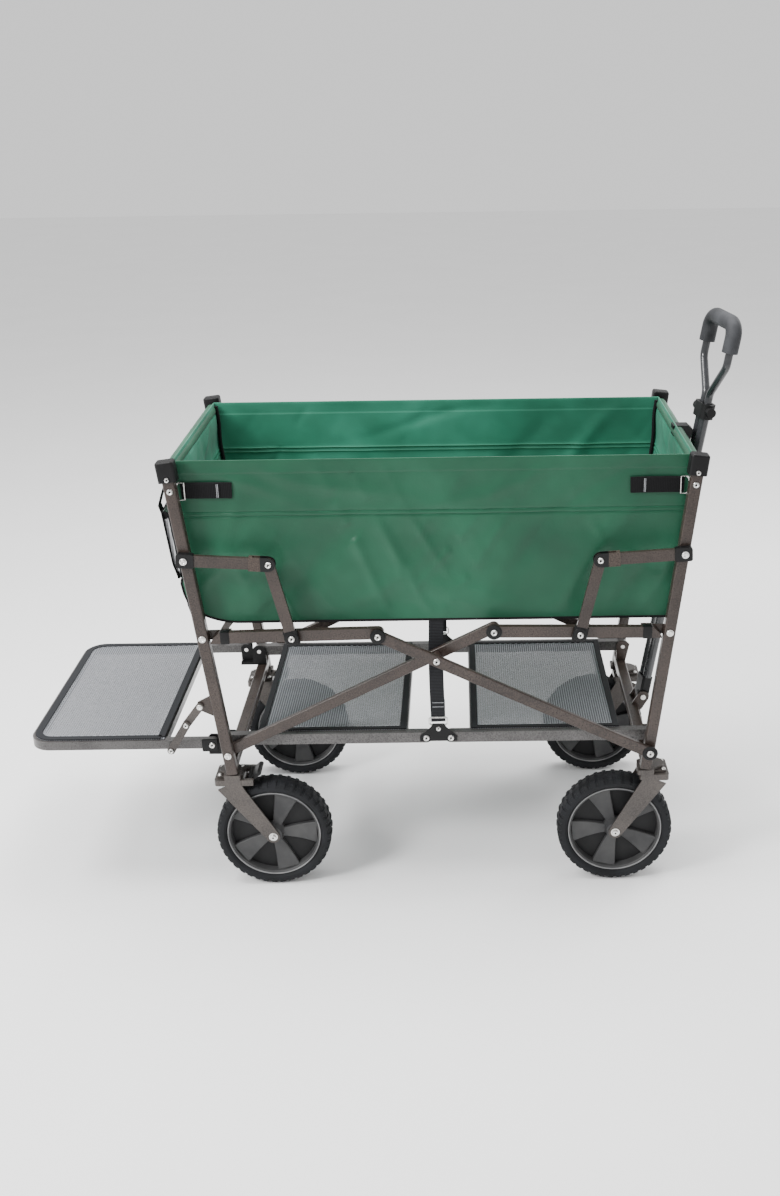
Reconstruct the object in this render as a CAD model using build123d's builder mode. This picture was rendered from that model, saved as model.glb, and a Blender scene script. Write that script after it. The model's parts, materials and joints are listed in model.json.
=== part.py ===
from build123d import *
from math import atan2, cos, degrees, hypot, radians, sin, sqrt
import os

os.makedirs("parts", exist_ok=True)

# ---------------------------------------------------------------- dimensions
# Millimetres.  +X points to the handle end, +Y to the far side, +Z up.
# Z = 0 is the ground.  X0 is the middle of the wheelbase, so that the origin
# sits under the middle of the whole wagon, tailgate included.
X0 = 99.45
# post axis, rear end frame: x grows outward with height
P1X, P1Z = 371.4, 269.7        # scissor foot pivot
LEAN = 0.1195                  # outward lean of the posts, dx/dz
P2Z, P4Z = 494.2, 639.4        # side rail pivot and strut pivot heights
QX, QZ = 98.6, 499.1           # scissor top pivot on the side rail
EX, EZ = 275.6, 631.0          # elbow between strut and elbow link
FX, FZ = 244.6, 497.1          # elbow link foot on the side rail
POST_W, POST_IN, POST_OUT = 20.0, 219.7, 237.7
POST_BOTTOM, POST_TOP = 232.0, 797.0
WALL = 1.5
A_IN, A_OUT = 208.7, 218.7     # inner scissor layer
B_IN, B_OUT = 240.0, 249.0     # outer scissor layer
R_IN, R_OUT = 224.0, 236.0     # side rail layer
D_IN, D_OUT = 190.0, 206.0     # deck rail layer
BAR = 20.0
DECK_X, DECK_Z, DECK_C = 372.5, 285.0, 21.9
DECK_T1, DECK_T2 = 63.0, 315.0 # deck cross tubes
RIVET_R, RUN = 3.0, 0.06
WHEEL_R, WHEEL_Y, AXLE_Z = 104.0, 207.0, 104.0
KING_REAR, AXLE_REAR = 374.0, 302.0
KING_FRONT, AXLE_FRONT = 383.0, 316.0
TG_X, TG_Z, TG_END, TG_HALF = 400.6, 284.0, 727.5, 219.0
BG = (471.4, 279.4)            # brace foot on the tailgate
BM = (441.4, 327.9)            # brace middle pivot
BH = (415.2, 361.8)            # brace head on the post ear
BASKET_Z0, BASKET_Z1, BASKET_Y = 519.0, 798.0, 206.5
CLOTH = 3.0
HX, HZ, HLEAN = 388.0, 270.0, 9.4
HTWIST = 13.0
TUBE_R, TUBE_IN, LEG_R, LEG_Y = 8.5, 7.0, 6.95, 9.0


def post_x(z):
    return P1X + LEAN * (z - P1Z)


P1 = (P1X, P1Z)
P2 = (post_x(P2Z), P2Z)
P4 = (post_x(P4Z), P4Z)
Q = (QX, QZ)
E = (EX, EZ)
F = (FX, FZ)


def at(side, p):
    """A side-view point on the rear (-1) or front (+1) half."""
    return (X0 + side * p[0], p[1])


def side_plane(y):
    """A vertical plane parallel to the wagon's side: local x is X, local y is Z, extruding towards -Y."""
    return Plane(origin=(0, -y, 0), x_dir=(1, 0, 0), z_dir=(0, -1, 0))


def length(p, q):
    return hypot(q[0] - p[0], q[1] - p[1])


def angle(p, q):
    return degrees(atan2(q[1] - p[1], q[0] - p[0]))


def middle(p, q):
    return ((p[0] + q[0]) / 2, (p[1] + q[1]) / 2)


def along(p, q, d):
    t = d / length(p, q)
    return (p[0] + t * (q[0] - p[0]), p[1] + t * (q[1] - p[1]))


def save(builder, name):
    builder.part.label = name
    export_step(builder.part, f"parts/{name}.step")


# ---------------------------------------------------------------- end frames
def post(side, yside):
    """A leaning rectangular tube, open at the bottom and top, with its rivet holes."""
    lean = atan2(LEAN, 1)
    with BuildPart() as p:
        with BuildSketch(
            Plane(
                origin=(X0 + side * post_x(POST_BOTTOM), yside * (POST_IN + POST_OUT) / 2, POST_BOTTOM),
                x_dir=(cos(lean), 0, -side * sin(lean)),
                z_dir=(side * sin(lean), 0, cos(lean)),
            )
        ):
            RectangleRounded(POST_W, POST_OUT - POST_IN, 3)
            RectangleRounded(POST_W - 2 * WALL, POST_OUT - POST_IN - 2 * WALL, 1.6, mode=Mode.SUBTRACT)
        extrude(amount=(POST_TOP - POST_BOTTOM) / cos(lean))
        with BuildSketch(side_plane(260)):
            with Locations(at(side, P1), at(side, P2), at(side, P4)):
                Circle(RIVET_R + 0.02)
        extrude(amount=-520, mode=Mode.SUBTRACT)
        if side < 0:
            # ear that carries the head of the tailgate brace
            h = at(side, BH)
            with BuildSketch(Plane(origin=(0, yside * 219.9, 0), x_dir=(1, 0, 0), z_dir=(0, -1, 0))):
                with BuildLine():
                    Polyline(
                        (h[0] - 4, h[1] + 7), (h[0] - 7, h[1]), (h[0] - 4, h[1] - 7),
                        (X0 - post_x(340) - 9.0, 340), (X0 - post_x(382) - 9.0, 382), (h[0] - 4, h[1] + 7),
                    )
                make_face()
            extrude(amount=-yside * 4.0)
            with BuildSketch(side_plane(260)):
                with Locations(h):
                    Circle(RIVET_R + 0.02)
            extrude(amount=-520, mode=Mode.SUBTRACT)
    return p


for side, end in ((-1, "rear"), (1, "front")):
    for yside, hand in ((-1, "near"), (1, "far")):
        save(post(side, yside), f"{end}_post_{hand}")

for side, end in ((-1, "rear"), (1, "front")):
    with BuildPart() as cross:
        # lower tube between the post feet
        with BuildSketch(Plane.XZ.offset(-POST_IN)):
            with Locations((X0 + side * post_x(246), 246)):
                RectangleRounded(20, 20, 3)
                RectangleRounded(17, 17, 1.6, mode=Mode.SUBTRACT)
        extrude(amount=2 * POST_IN)
        # upper tube inside the basket hem
        with BuildSketch(Plane.XZ.offset(-POST_IN)):
            with Locations((X0 + side * post_x(786), 786)):
                Circle(8)
                Circle(6.5, mode=Mode.SUBTRACT)
        extrude(amount=2 * POST_IN)
        if side > 0:
            # two lugs for the handle's pivot
            lug = at(1, (HX, HZ))
            foot = at(1, (P1X + 6, 252))
            with BuildSketch(side_plane(17.2)):
                with Locations(middle(lug, foot)):
                    SlotCenterToCenter(length(lug, foot), 22, rotation=angle(foot, lug))
                with Locations(lug):
                    Circle(5.02, mode=Mode.SUBTRACT)
                with Locations((X0 + side * post_x(246), 246)):
                    Rectangle(19, 19, mode=Mode.SUBTRACT)
            extrude(amount=4)
            mirror(about=Plane.XZ)
            # welded plates that carry the front half of the deck
            with BuildSketch(side_plane(185.5)):
                with BuildLine():
                    Polyline(
                        (X0 + 359.5, 252), (X0 + 359.5, 290), (X0 + 365, 296), (X0 + 380, 296),
                        (X0 + 386, 290), (X0 + 378.2, 252), (X0 + 359.5, 252),
                    )
                make_face()
                with Locations((X0 + post_x(246), 246)):
                    Rectangle(19, 19, mode=Mode.SUBTRACT)
                with Locations(at(1, (DECK_X, DECK_Z))):
                    Circle(4.02, mode=Mode.SUBTRACT)
            extrude(amount=4.2)
            mirror(about=Plane.XZ)
    save(cross, f"{end}_cross_tubes")

for side, end in ((-1, "rear"), (1, "front")):
    with BuildPart() as caps:
        # chunky plastic cap over each post top, its skirt open below
        lean = atan2(LEAN, 1)
        top = Plane(
            origin=(X0 + side * post_x(772), -(POST_IN + POST_OUT) / 2, 772),
            x_dir=(cos(lean), 0, -side * sin(lean)),
            z_dir=(side * sin(lean), 0, cos(lean)),
        )
        with BuildSketch(top):
            RectangleRounded(31, 25, 5)
        extrude(amount=35)
        fillet(caps.faces().sort_by(Axis.Z)[-1].edges(), radius=4)
        with BuildSketch(top):
            RectangleRounded(POST_W + 0.1, POST_OUT - POST_IN + 0.1, 3)
        extrude(amount=25.6, mode=Mode.SUBTRACT)
        with BuildSketch(Plane.XZ.offset(POST_IN - 6)):
            with Locations((X0 + side * post_x(786), 786)):
                Circle(8.1)
        extrude(amount=6.0, mode=Mode.SUBTRACT)
        mirror(about=Plane.XZ)
    save(caps, f"{end}_post_caps")

for side, end in ((-1, "rear"), (1, "front")):
    king = KING_REAR if side < 0 else KING_FRONT
    with BuildPart() as socket:
        # swivel housing under each post, with its kingpin
        with BuildSketch(Plane((X0 + side * king, -WHEEL_Y, 221))):
            RectangleRounded(46, 44, 8)
        extrude(amount=4)
        with BuildSketch(Plane((X0 + side * king, -WHEEL_Y, 225))):
            Circle(19)
        extrude(amount=5.4)
        with BuildSketch(Plane((X0 + side * king, -WHEEL_Y, 207))):
            Circle(5)
        extrude(amount=14)
        # saddle that holds the foot of the post
        with BuildSketch(Plane((X0 + side * (post_x(228) + 1), -(POST_IN + POST_OUT) / 2 + 2, 221))):
            RectangleRounded(30, 24, 4)
        extrude(amount=9.4)
        mirror(about=Plane.XZ)
    save(socket, f"{end}_caster_sockets")


for side, end in ((-1, "rear"), (1, "front")):
    # (centre, outer face under the head, inner end of the shank, head radius)
    if side < 0:
        rows = [
            (P1, POST_OUT + 0.1, A_IN - 0.4, 6.0),
            (P2, POST_OUT + 0.1, 216.2, 6.0),
            (P4, 250.3, POST_IN - 0.4, 6.0),
            (BH, 228.5, POST_IN - 0.3, 5.0),
        ]
    else:
        rows = [
            (P1, B_OUT + 0.3, POST_IN - 0.4, 6.0),
            (P2, POST_OUT + 0.1, 216.2, 6.0),
            (P4, 250.3, POST_IN - 0.4, 6.0),
        ]
    with BuildPart() as rivets:
        for centre, head_y, tip_y, head_r in rows:
            with BuildSketch(side_plane(head_y)):
                with Locations(at(side, centre)):
                    Circle(head_r)
            extrude(amount=2.0)
            with BuildSketch(side_plane(tip_y)):
                with Locations(at(side, centre)):
                    Circle(RIVET_R)
            extrude(amount=head_y - tip_y + 0.5)
        # hinge pin of the deck rail, through its bracket plate
        with BuildSketch(side_plane(184.5)):
            with Locations(at(side, (DECK_X, DECK_Z))):
                Circle(4)
        extrude(amount=D_OUT + 0.8 - 184.5)
        if side < 0:
            # hinge pin of the tailgate rail
            with BuildSketch(side_plane(197)):
                with Locations(at(side, (TG_X, TG_Z))):
                    Circle(4)
            extrude(amount=TG_HALF + 0.5 - 197)
        mirror(about=Plane.XZ)
        if side > 0:
            # handle pivot pin
            with BuildSketch(side_plane(-24)):
                with Locations(at(side, (HX, HZ))):
                    Circle(5)
            extrude(amount=48)
    save(rivets, f"{end}_frame_rivets")

with BuildPart() as hinge_brackets:
    # two-hole plates that stand on the lower cross tube and carry deck and tailgate
    with BuildSketch(Plane((X0 - 385, -194.1, 256.05))):
        Rectangle(52, 17.2)
    extrude(amount=5)
    with BuildSketch(side_plane(185.5)):
        with BuildLine():
            Polyline(
                (X0 - 386, 256.05), (X0 - 386, 290), (X0 - 380, 296), (X0 - 365, 296),
                (X0 - 359, 290), (X0 - 359, 256.05), (X0 - 386, 256.05),
            )
        make_face()
        with Locations(at(-1, (DECK_X, DECK_Z))):
            Circle(4.02, mode=Mode.SUBTRACT)
    extrude(amount=4.2)
    with BuildSketch(side_plane(198.2)):
        with BuildLine():
            Polyline(
                (X0 - 411, 256.05), (X0 - 411, 290), (X0 - 406, 295), (X0 - 395, 295),
                (X0 - 388, 288), (X0 - 388, 256.05), (X0 - 411, 256.05),
            )
        make_face()
        with Locations(at(-1, (TG_X, TG_Z))):
            Circle(4.02, mode=Mode.SUBTRACT)
    extrude(amount=4.5)
    mirror(about=Plane.XZ)
save(hinge_brackets, "rear_hinge_brackets")

with BuildPart() as clip:
    # plastic rest on the upper cross tube, where the parked handle leans
    with BuildSketch(Plane.XZ.offset(-13)):
        with BuildLine():
            c = (X0 + post_x(786), 786)
            Polyline(
                (c[0] - 9, 779), (c[0] + 9, 779), (c[0] + 21, 768), (c[0] + 26.5, 790),
                (c[0] + 18, 797.5), (c[0] - 9, 797.5), (c[0] - 9, 779),
            )
        make_face()
        with Locations(c):
            Circle(8.02, mode=Mode.SUBTRACT)
    extrude(amount=26)
save(clip, "handle_clip")

# ---------------------------------------------------------------- lower deck
for side, end in ((-1, "rear"), (1, "front")):
    a, b = at(side, (DECK_X, DECK_Z)), at(side, (DECK_C, DECK_Z))
    with BuildPart() as deck:
        with BuildSketch(side_plane(D_IN)):
            with Locations(middle(a, b)):
                SlotCenterToCenter(length(a, b), BAR)
            with Locations(a):
                Circle(4 + RUN, mode=Mode.SUBTRACT)
            with Locations(b):
                Circle(4 + RUN, mode=Mode.SUBTRACT)
        extrude(amount=D_OUT - D_IN)
        mirror(about=Plane.XZ)
        for x in (DECK_T1, DECK_T2):
            with BuildSketch(Plane.XZ.offset(-D_IN - 1)):
                with Locations(at(side, (x, DECK_Z - 2))):
                    RectangleRounded(16, 16, 3)
            extrude(amount=2 * D_IN + 2)
    save(deck, f"deck_frame_{end}")
    with BuildPart() as mesh:
        with BuildSketch(Plane((X0 + side * (DECK_T1 + DECK_T2) / 2, 0, DECK_Z + 6.3))):
            Rectangle(DECK_T2 - DECK_T1 + 18, 2 * D_IN - 1)
        extrude(amount=3)
    save(mesh, f"deck_mesh_{end}")

with BuildPart() as brackets:
    # trapezoid plate that links the two deck halves on each side
    with BuildSketch(side_plane(206.3)):
        with BuildLine():
            Polyline(
                (X0 - 33, 279), (X0 - 33, 288), (X0 - 14, 306), (X0 - 10, 313),
                (X0 + 10, 313), (X0 + 14, 306), (X0 + 33, 288), (X0 + 33, 279), (X0 - 33, 279),
            )
        make_face()
    extrude(amount=2.1)
    with BuildSketch(side_plane(189)):
        with Locations((X0 - DECK_C, DECK_Z), (X0 + DECK_C, DECK_Z)):
            Circle(4)
    extrude(amount=17.8)
    mirror(about=Plane.XZ)
save(brackets, "centre_brackets")

with BuildPart() as straps:
    # webbing from each bracket up to the middle of the basket floor
    with BuildSketch(side_plane(203.6)):
        with Locations((X0, 408)):
            Rectangle(26, 214)
    extrude(amount=1.8)
    mirror(about=Plane.XZ)
save(straps, "lift_straps")

# ---------------------------------------------------------------- scissors
ql, p1r = at(-1, Q), at(1, P1)
for side, end in ((-1, "rear"), (1, "front")):
    foot, head = at(side, P1), at(-side, Q)
    y0, y1 = (A_IN, A_OUT) if side < 0 else (B_IN, B_OUT)
    with BuildPart() as bar:
        with BuildSketch(side_plane(y0)):
            with Locations(middle(foot, head)):
                SlotCenterToCenter(length(foot, head), BAR, rotation=angle(foot, head))
        extrude(amount=y1 - y0)
        fillet(bar.faces().filter_by(Axis.Y).edges(), radius=2)
        if side < 0:
            # boss that carries the top pivot towards the side rail
            with BuildSketch(side_plane(A_OUT - 1)):
                with Locations(head):
                    Circle(8)
            extrude(amount=R_IN - 0.4 - A_OUT + 1)
        else:
            with BuildSketch(side_plane(R_OUT + 0.4)):
                with Locations(head):
                    Circle(8)
            extrude(amount=B_IN - R_OUT)
            # boss of the crossing pivot
            with BuildSketch(side_plane(A_OUT + 0.4)):
                with Locations((X0, P1Z + P1X / (P1X + QX) * (QZ - P1Z))):
                    Circle(7)
            extrude(amount=B_IN - A_OUT)
        with BuildSketch(side_plane(y0 - 2)):
            with Locations(foot):
                Circle(RIVET_R + RUN)
        extrude(amount=y1 - y0 + 4, mode=Mode.SUBTRACT)
        mirror(about=Plane.XZ)
    save(bar, f"scissor_bars_{end}")

# ---------------------------------------------------------------- side rails
for side, end in ((-1, "rear"), (1, "front")):
    p2, q = P2, Q
    u = ((q[0] - p2[0]) / length(p2, q), (q[1] - p2[1]) / length(p2, q))

    def rail_point(d, h):
        """d along the rail from its post pivot, h above its middle line."""
        n = (u[1], -u[0]) if u[0] > 0 else (-u[1], u[0])
        n = (n[0], n[1]) if n[1] > 0 else (-n[0], -n[1])
        return at(side, (p2[0] + d * u[0] + h * n[0], p2[1] + d * u[1] + h * n[1]))

    reach = length(p2, q)
    with BuildPart() as rails:
        # the end beside the post is bevelled so that the rail can swing up past it
        with BuildSketch(side_plane(R_IN)):
            with BuildLine():
                Polyline(
                    rail_point(12.5, -10), rail_point(17.5, 0), rail_point(30, 10),
                    rail_point(reach, 10), rail_point(reach, -10), rail_point(12.5, -10),
                )
            make_face()
            with Locations(at(side, q)):
                Circle(10)
        extrude(amount=R_OUT - R_IN)
        with BuildSketch(side_plane(216.6)):
            with BuildLine():
                Polyline(
                    rail_point(12.5, -10), rail_point(17.5, 0), rail_point(30, 10),
                    rail_point(48, 10), rail_point(48, -10), rail_point(12.5, -10),
                )
            make_face()
        extrude(amount=R_IN - 216.6 + 1)
        # tongue behind the post
        tip, root = at(side, p2), rail_point(36, 0)
        with BuildSketch(side_plane(216.6)):
            with Locations(middle(tip, root)):
                SlotCenterToCenter(length(tip, root), 17, rotation=angle(tip, root))
        extrude(amount=2.8)
        with BuildSketch(side_plane(214)):
            with Locations(tip):
                Circle(RIVET_R + RUN)
        extrude(amount=8, mode=Mode.SUBTRACT)
        mirror(about=Plane.XZ)
    save(rails, f"side_rails_{end}")

# ---------------------------------------------------------------- struts, elbow links
for side, end in ((-1, "rear"), (1, "front")):
    p4, e, f = at(side, P4), at(side, E), at(side, F)
    stop = along(e, p4, 27)
    with BuildPart() as struts:
        with BuildSketch(side_plane(240)):
            with Locations(middle(p4, stop)):
                Rectangle(length(p4, stop), BAR, rotation=angle(p4, stop))
            with Locations(p4):
                Circle(BAR / 2)
            with Locations(p4):
                Circle(RIVET_R + RUN, mode=Mode.SUBTRACT)
        extrude(amount=8)
        mirror(about=Plane.XZ)
    save(struts, f"struts_{end}")

    sleeve_a, sleeve_b = along(p4, e, -12.5), along(p4, e, 17)
    grip_b = along(e, p4, 33)
    with BuildPart() as caps:
        # boot over the post end of the strut
        with BuildSketch(side_plane(238.1)):
            with Locations(middle(sleeve_a, sleeve_b)):
                RectangleRounded(length(sleeve_a, sleeve_b), BAR + 4, 4, rotation=angle(sleeve_a, sleeve_b))
        extrude(amount=12)
        # clevis at the elbow: two cheeks joined over the end of the strut
        with BuildSketch(side_plane(238.1)):
            with Locations(middle(e, grip_b)):
                Rectangle(length(e, grip_b), BAR + 4, rotation=angle(e, grip_b))
            with Locations(e):
                Circle(11.5)
        extrude(amount=12)
        with BuildSketch(side_plane(240)):
            with Locations(middle(e, stop)):
                Rectangle(length(e, stop), BAR + 8, rotation=angle(e, stop))
            with Locations(e):
                Circle(14)
        extrude(amount=8, mode=Mode.SUBTRACT)
        # room for the strut itself
        with BuildSketch(side_plane(240)):
            with Locations(middle(p4, stop)):
                Rectangle(length(p4, stop) + 0.04, BAR + 0.04, rotation=angle(p4, stop))
            with Locations(p4):
                Circle(BAR / 2 + 0.02)
        extrude(amount=8, mode=Mode.SUBTRACT)
        with BuildSketch(side_plane(237)):
            with Locations(p4):
                Circle(RIVET_R + RUN)
        extrude(amount=14, mode=Mode.SUBTRACT)
        # elbow pin across the cheeks
        with BuildSketch(side_plane(239)):
            with Locations(e):
                Circle(RIVET_R)
        extrude(amount=10)
        mirror(about=Plane.XZ)
    save(caps, f"strut_end_caps_{end}")

    with BuildPart() as links:
        with BuildSketch(side_plane(240.3)):
            with Locations(middle(e, f)):
                SlotCenterToCenter(length(e, f), 19, rotation=angle(e, f))
        extrude(amount=7.4)
        with BuildSketch(side_plane(R_OUT + 0.4)):
            with Locations(f):
                Circle(8)
        extrude(amount=5)
        with BuildSketch(side_plane(239)):
            with Locations(e):
                Circle(RIVET_R + RUN)
        extrude(amount=12, mode=Mode.SUBTRACT)
        mirror(about=Plane.XZ)
    save(links, f"elbow_links_{end}")

# ---------------------------------------------------------------- tailgate
with BuildPart() as tailgate:
    # rounded U of tube that runs on as two rails to its hinges
    with BuildSketch(Plane((0, 0, TG_Z - 8))):
        with Locations((X0 - (TG_END + 430) / 2, 0)):
            Rectangle(TG_END - 430, 2 * TG_HALF)
            Rectangle(TG_END - 430 - 32, 2 * TG_HALF - 32, mode=Mode.SUBTRACT)
        with Locations((X0 - 470, 0)):
            Rectangle(88, 2 * TG_HALF - 32, mode=Mode.SUBTRACT)
    extrude(amount=16)
    fillet(tailgate.edges().filter_by(Axis.Z).group_by(Axis.X)[0], radius=38)
    with BuildSketch(Plane((X0 - 492, 0, TG_Z - 8))):
        Rectangle(16, 2 * TG_HALF - 31)
    extrude(amount=14)
    for yside in (-1, 1):
        # hinge tongue of each rail
        with BuildSketch(side_plane(-yside * (TG_HALF - 8) + 8)):
            with Locations((X0 - (TG_X + 432) / 2, TG_Z)):
                SlotCenterToCenter(432 - TG_X, 16)
        extrude(amount=-16)
        with BuildSketch(side_plane(-yside * (TG_HALF - 8) + 12)):
            with Locations(at(-1, (TG_X, TG_Z))):
                Circle(4 + RUN)
        extrude(amount=-24, mode=Mode.SUBTRACT)
    # studs of the brace feet
    for yside in (-1, 1):
        with BuildSketch(Plane(origin=(0, yside * (TG_HALF - 1), 0), x_dir=(1, 0, 0), z_dir=(0, -1, 0))):
            with Locations(at(-1, BG)):
                Circle(5.5)
        extrude(amount=-yside * 10.2)
        with BuildSketch(Plane(origin=(0, yside * (TG_HALF + 8), 0), x_dir=(1, 0, 0), z_dir=(0, -1, 0))):
            with Locations(at(-1, BG)):
                Circle(RIVET_R)
        extrude(amount=-yside * 6.4)
save(tailgate, "tailgate_frame")

with BuildPart() as tg_mesh:
    with BuildSketch(Plane((0, 0, TG_Z + 8.05))):
        with Locations((X0 - (TG_END + 484) / 2, 0)):
            RectangleRounded(TG_END - 484 - 4, 2 * TG_HALF - 4, 20)
    extrude(amount=3)
save(tg_mesh, "tailgate_mesh")

for name, p, q, y, hole in (
    ("tailgate_braces_upper", BH, BM, 224.3, BH),
    ("tailgate_braces_lower", BG, BM, 228.6, BG),
):
    a, b = at(-1, p), at(-1, q)
    with BuildPart() as brace:
        with BuildSketch(side_plane(y)):
            with Locations(middle(a, b)):
                SlotCenterToCenter(length(a, b), 14, rotation=angle(a, b))
            with Locations(a):
                Circle(RIVET_R + RUN, mode=Mode.SUBTRACT)
        extrude(amount=4)
        mirror(about=Plane.XZ)
    save(brace, name)

# ---------------------------------------------------------------- basket
def wall_x(z, out):
    """Half length of the basket at a height, with out measured from the post axis."""
    return post_x(z) + 1.5 - out


END_TOP = 777.0  # the end walls stop under the upper cross tubes, which lie in their hems


for side, end in ((-1, "rear"), (1, "front")):
    with BuildPart() as wall:
        with BuildSketch(Plane.XZ.offset(-BASKET_Y)):
            with BuildLine():
                Polyline(
                    at(side, (wall_x(BASKET_Z0, 0), BASKET_Z0)), at(side, (wall_x(END_TOP, 0), END_TOP)),
                    at(side, (wall_x(END_TOP, CLOTH), END_TOP)), at(side, (wall_x(BASKET_Z0, CLOTH), BASKET_Z0)),
                    at(side, (wall_x(BASKET_Z0, 0), BASKET_Z0)),
                )
            make_face()
        extrude(amount=2 * BASKET_Y)
    save(wall, f"basket_wall_{end}")

for yside, hand in ((-1, "near"), (1, "far")):
    with BuildPart() as wall:
        with BuildSketch(Plane(origin=(0, yside * (BASKET_Y - CLOTH), 0), x_dir=(1, 0, 0), z_dir=(0, -1, 0))):
            with BuildLine():
                lo, hi, top = wall_x(BASKET_Z0, CLOTH) - 0.6, wall_x(END_TOP, CLOTH) - 0.6, post_x(786) - 9.5
                Polyline(
                    (X0 - lo, BASKET_Z0), (X0 + lo, BASKET_Z0), (X0 + hi, END_TOP), (X0 + top, END_TOP),
                    (X0 + top, BASKET_Z1), (X0 - top, BASKET_Z1), (X0 - top, END_TOP), (X0 - hi, END_TOP),
                    (X0 - lo, BASKET_Z0),
                )
            make_face()
        extrude(amount=-yside * CLOTH)
    save(wall, f"basket_wall_{hand}")

FLOOR_HINGE, FLOOR_Z, FLOOR_LEN = 388.0, 518.0, 385.0
for side, end in ((-1, "rear"), (1, "front")):
    a, b = FLOOR_HINGE + 4, FLOOR_HINGE - FLOOR_LEN
    with BuildPart() as board:
        with BuildSketch(Plane((X0 + side * (a + b) / 2, 0, FLOOR_Z))):
            Rectangle(a - b, 400)
        extrude(amount=5)
    save(board, f"floor_board_{end}")

with BuildPart() as pocket:
    # open-topped pocket on the outside of the rear wall
    with BuildSketch(Plane.XZ.offset(-188)):
        with BuildLine():
            z0, z1 = 514.0, 706.0
            Polyline(
                (X0 - wall_x(z0, -0.4), z0), (X0 - wall_x(z1, -0.4), z1),
                (X0 - wall_x(z1, -46), z1), (X0 - wall_x(z0 + 60, -44), z0 + 60),
                (X0 - wall_x(z0, -18), z0), (X0 - wall_x(z0, -0.4), z0),
            )
        make_face()
    extrude(amount=376)
    with BuildSketch(Plane.XZ.offset(-185.5)):
        with BuildLine():
            z0, z1 = 517.0, 708.0
            Polyline(
                (X0 - wall_x(z0, -2.9), z0), (X0 - wall_x(z1, -2.9), z1),
                (X0 - wall_x(z1, -43.5), z1), (X0 - wall_x(z0 + 58, -41.5), z0 + 58),
                (X0 - wall_x(z0, -16), z0), (X0 - wall_x(z0, -2.9), z0),
            )
        make_face()
    extrude(amount=371, mode=Mode.SUBTRACT)
save(pocket, "rear_pocket")

# ---------------------------------------------------------------- handle
hl = radians(HLEAN)
ht = radians(HTWIST)
stem_dir = Vector(sin(hl), 0, cos(hl))
side_dir = Vector(cos(hl), 0, -sin(hl)) * sin(ht) + Vector(0, -1, 0) * cos(ht)
base = Vector(X0 + HX, 0, HZ)


def stem_plane(s):
    """Across the stem, s up from its pivot: local x runs from tube to tube."""
    return Plane(origin=tuple(base + stem_dir * s), x_dir=tuple(side_dir), z_dir=tuple(stem_dir))


loop_plane = Plane(origin=tuple(base), x_dir=tuple(side_dir), z_dir=tuple(side_dir.cross(stem_dir)))

with BuildPart() as yoke:
    with BuildSketch(side_plane(-16.8)):
        with Locations((base.X, base.Z)):
            Circle(12)
    extrude(amount=33.6)
    with BuildSketch(stem_plane(4)):
        RectangleRounded(32, 20, 5)
    extrude(amount=34)
    with BuildSketch(side_plane(-18)):
        with Locations((base.X, base.Z)):
            Circle(5 + RUN)
    extrude(amount=36, mode=Mode.SUBTRACT)
save(yoke, "handle_yoke")

STEM_TOP = 570.0
with BuildPart() as stem:
    with BuildSketch(stem_plane(38.1)):
        with Locations((-LEG_Y, 0), (LEG_Y, 0)):
            Circle(TUBE_R)
    extrude(amount=STEM_TOP - 38.1)
    # weld web that joins the two tubes
    with BuildSketch(stem_plane(38.1)):
        Rectangle(6, 6)
    extrude(amount=STEM_TOP - 38.1 - 30)
    with BuildSketch(stem_plane(44)):
        with Locations((-LEG_Y, 0), (LEG_Y, 0)):
            Circle(TUBE_IN)
    extrude(amount=STEM_TOP, mode=Mode.SUBTRACT)
save(stem, "handle_stem")

with BuildPart() as collar:
    with BuildSketch(stem_plane(STEM_TOP - 22)):
        SlotOverall(50, 26)
    extrude(amount=26)
    # ears of the clamp bolt
    with BuildSketch(
        Plane(origin=tuple(base + stem_dir * (STEM_TOP - 8) - side_dir * 33), x_dir=tuple(stem_dir), z_dir=tuple(side_dir))
    ):
        Circle(8.5)
    extrude(amount=66)
    with BuildSketch(stem_plane(STEM_TOP - 23)):
        with Locations((-LEG_Y, 0), (LEG_Y, 0)):
            Circle(TUBE_R + 0.02)
        Rectangle(6.04, 6.04)
    extrude(amount=28, mode=Mode.SUBTRACT)
save(collar, "handle_collar")

LOOP_TOP, LOOP_Y = 722.0, 50.0
with BuildPart() as loop:
    with BuildLine(loop_plane):
        FilletPolyline(
            (LEG_Y, 285), (LEG_Y, 592), (LOOP_Y, 648), (LOOP_Y, LOOP_TOP),
            (-LOOP_Y, LOOP_TOP), (-LOOP_Y, 648), (-LEG_Y, 592), (-LEG_Y, 285),
            radius=22,
        )
    with BuildSketch(stem_plane(285)):
        with Locations((LEG_Y, 0)):
            Circle(LEG_R)
            Circle(LEG_R - 1.5, mode=Mode.SUBTRACT)
    sweep()
save(loop, "handle_loop")

with BuildPart() as grip:
    with BuildLine(loop_plane):
        FilletPolyline(
            (LOOP_Y, 674), (LOOP_Y, LOOP_TOP), (-LOOP_Y, LOOP_TOP), (-LOOP_Y, 674), radius=22,
        )
    with BuildSketch(stem_plane(674)):
        with Locations((LOOP_Y, 0)):
            Circle(14)
            Circle(LEG_R + 0.03, mode=Mode.SUBTRACT)
    sweep()
save(grip, "handle_grip")

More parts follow.
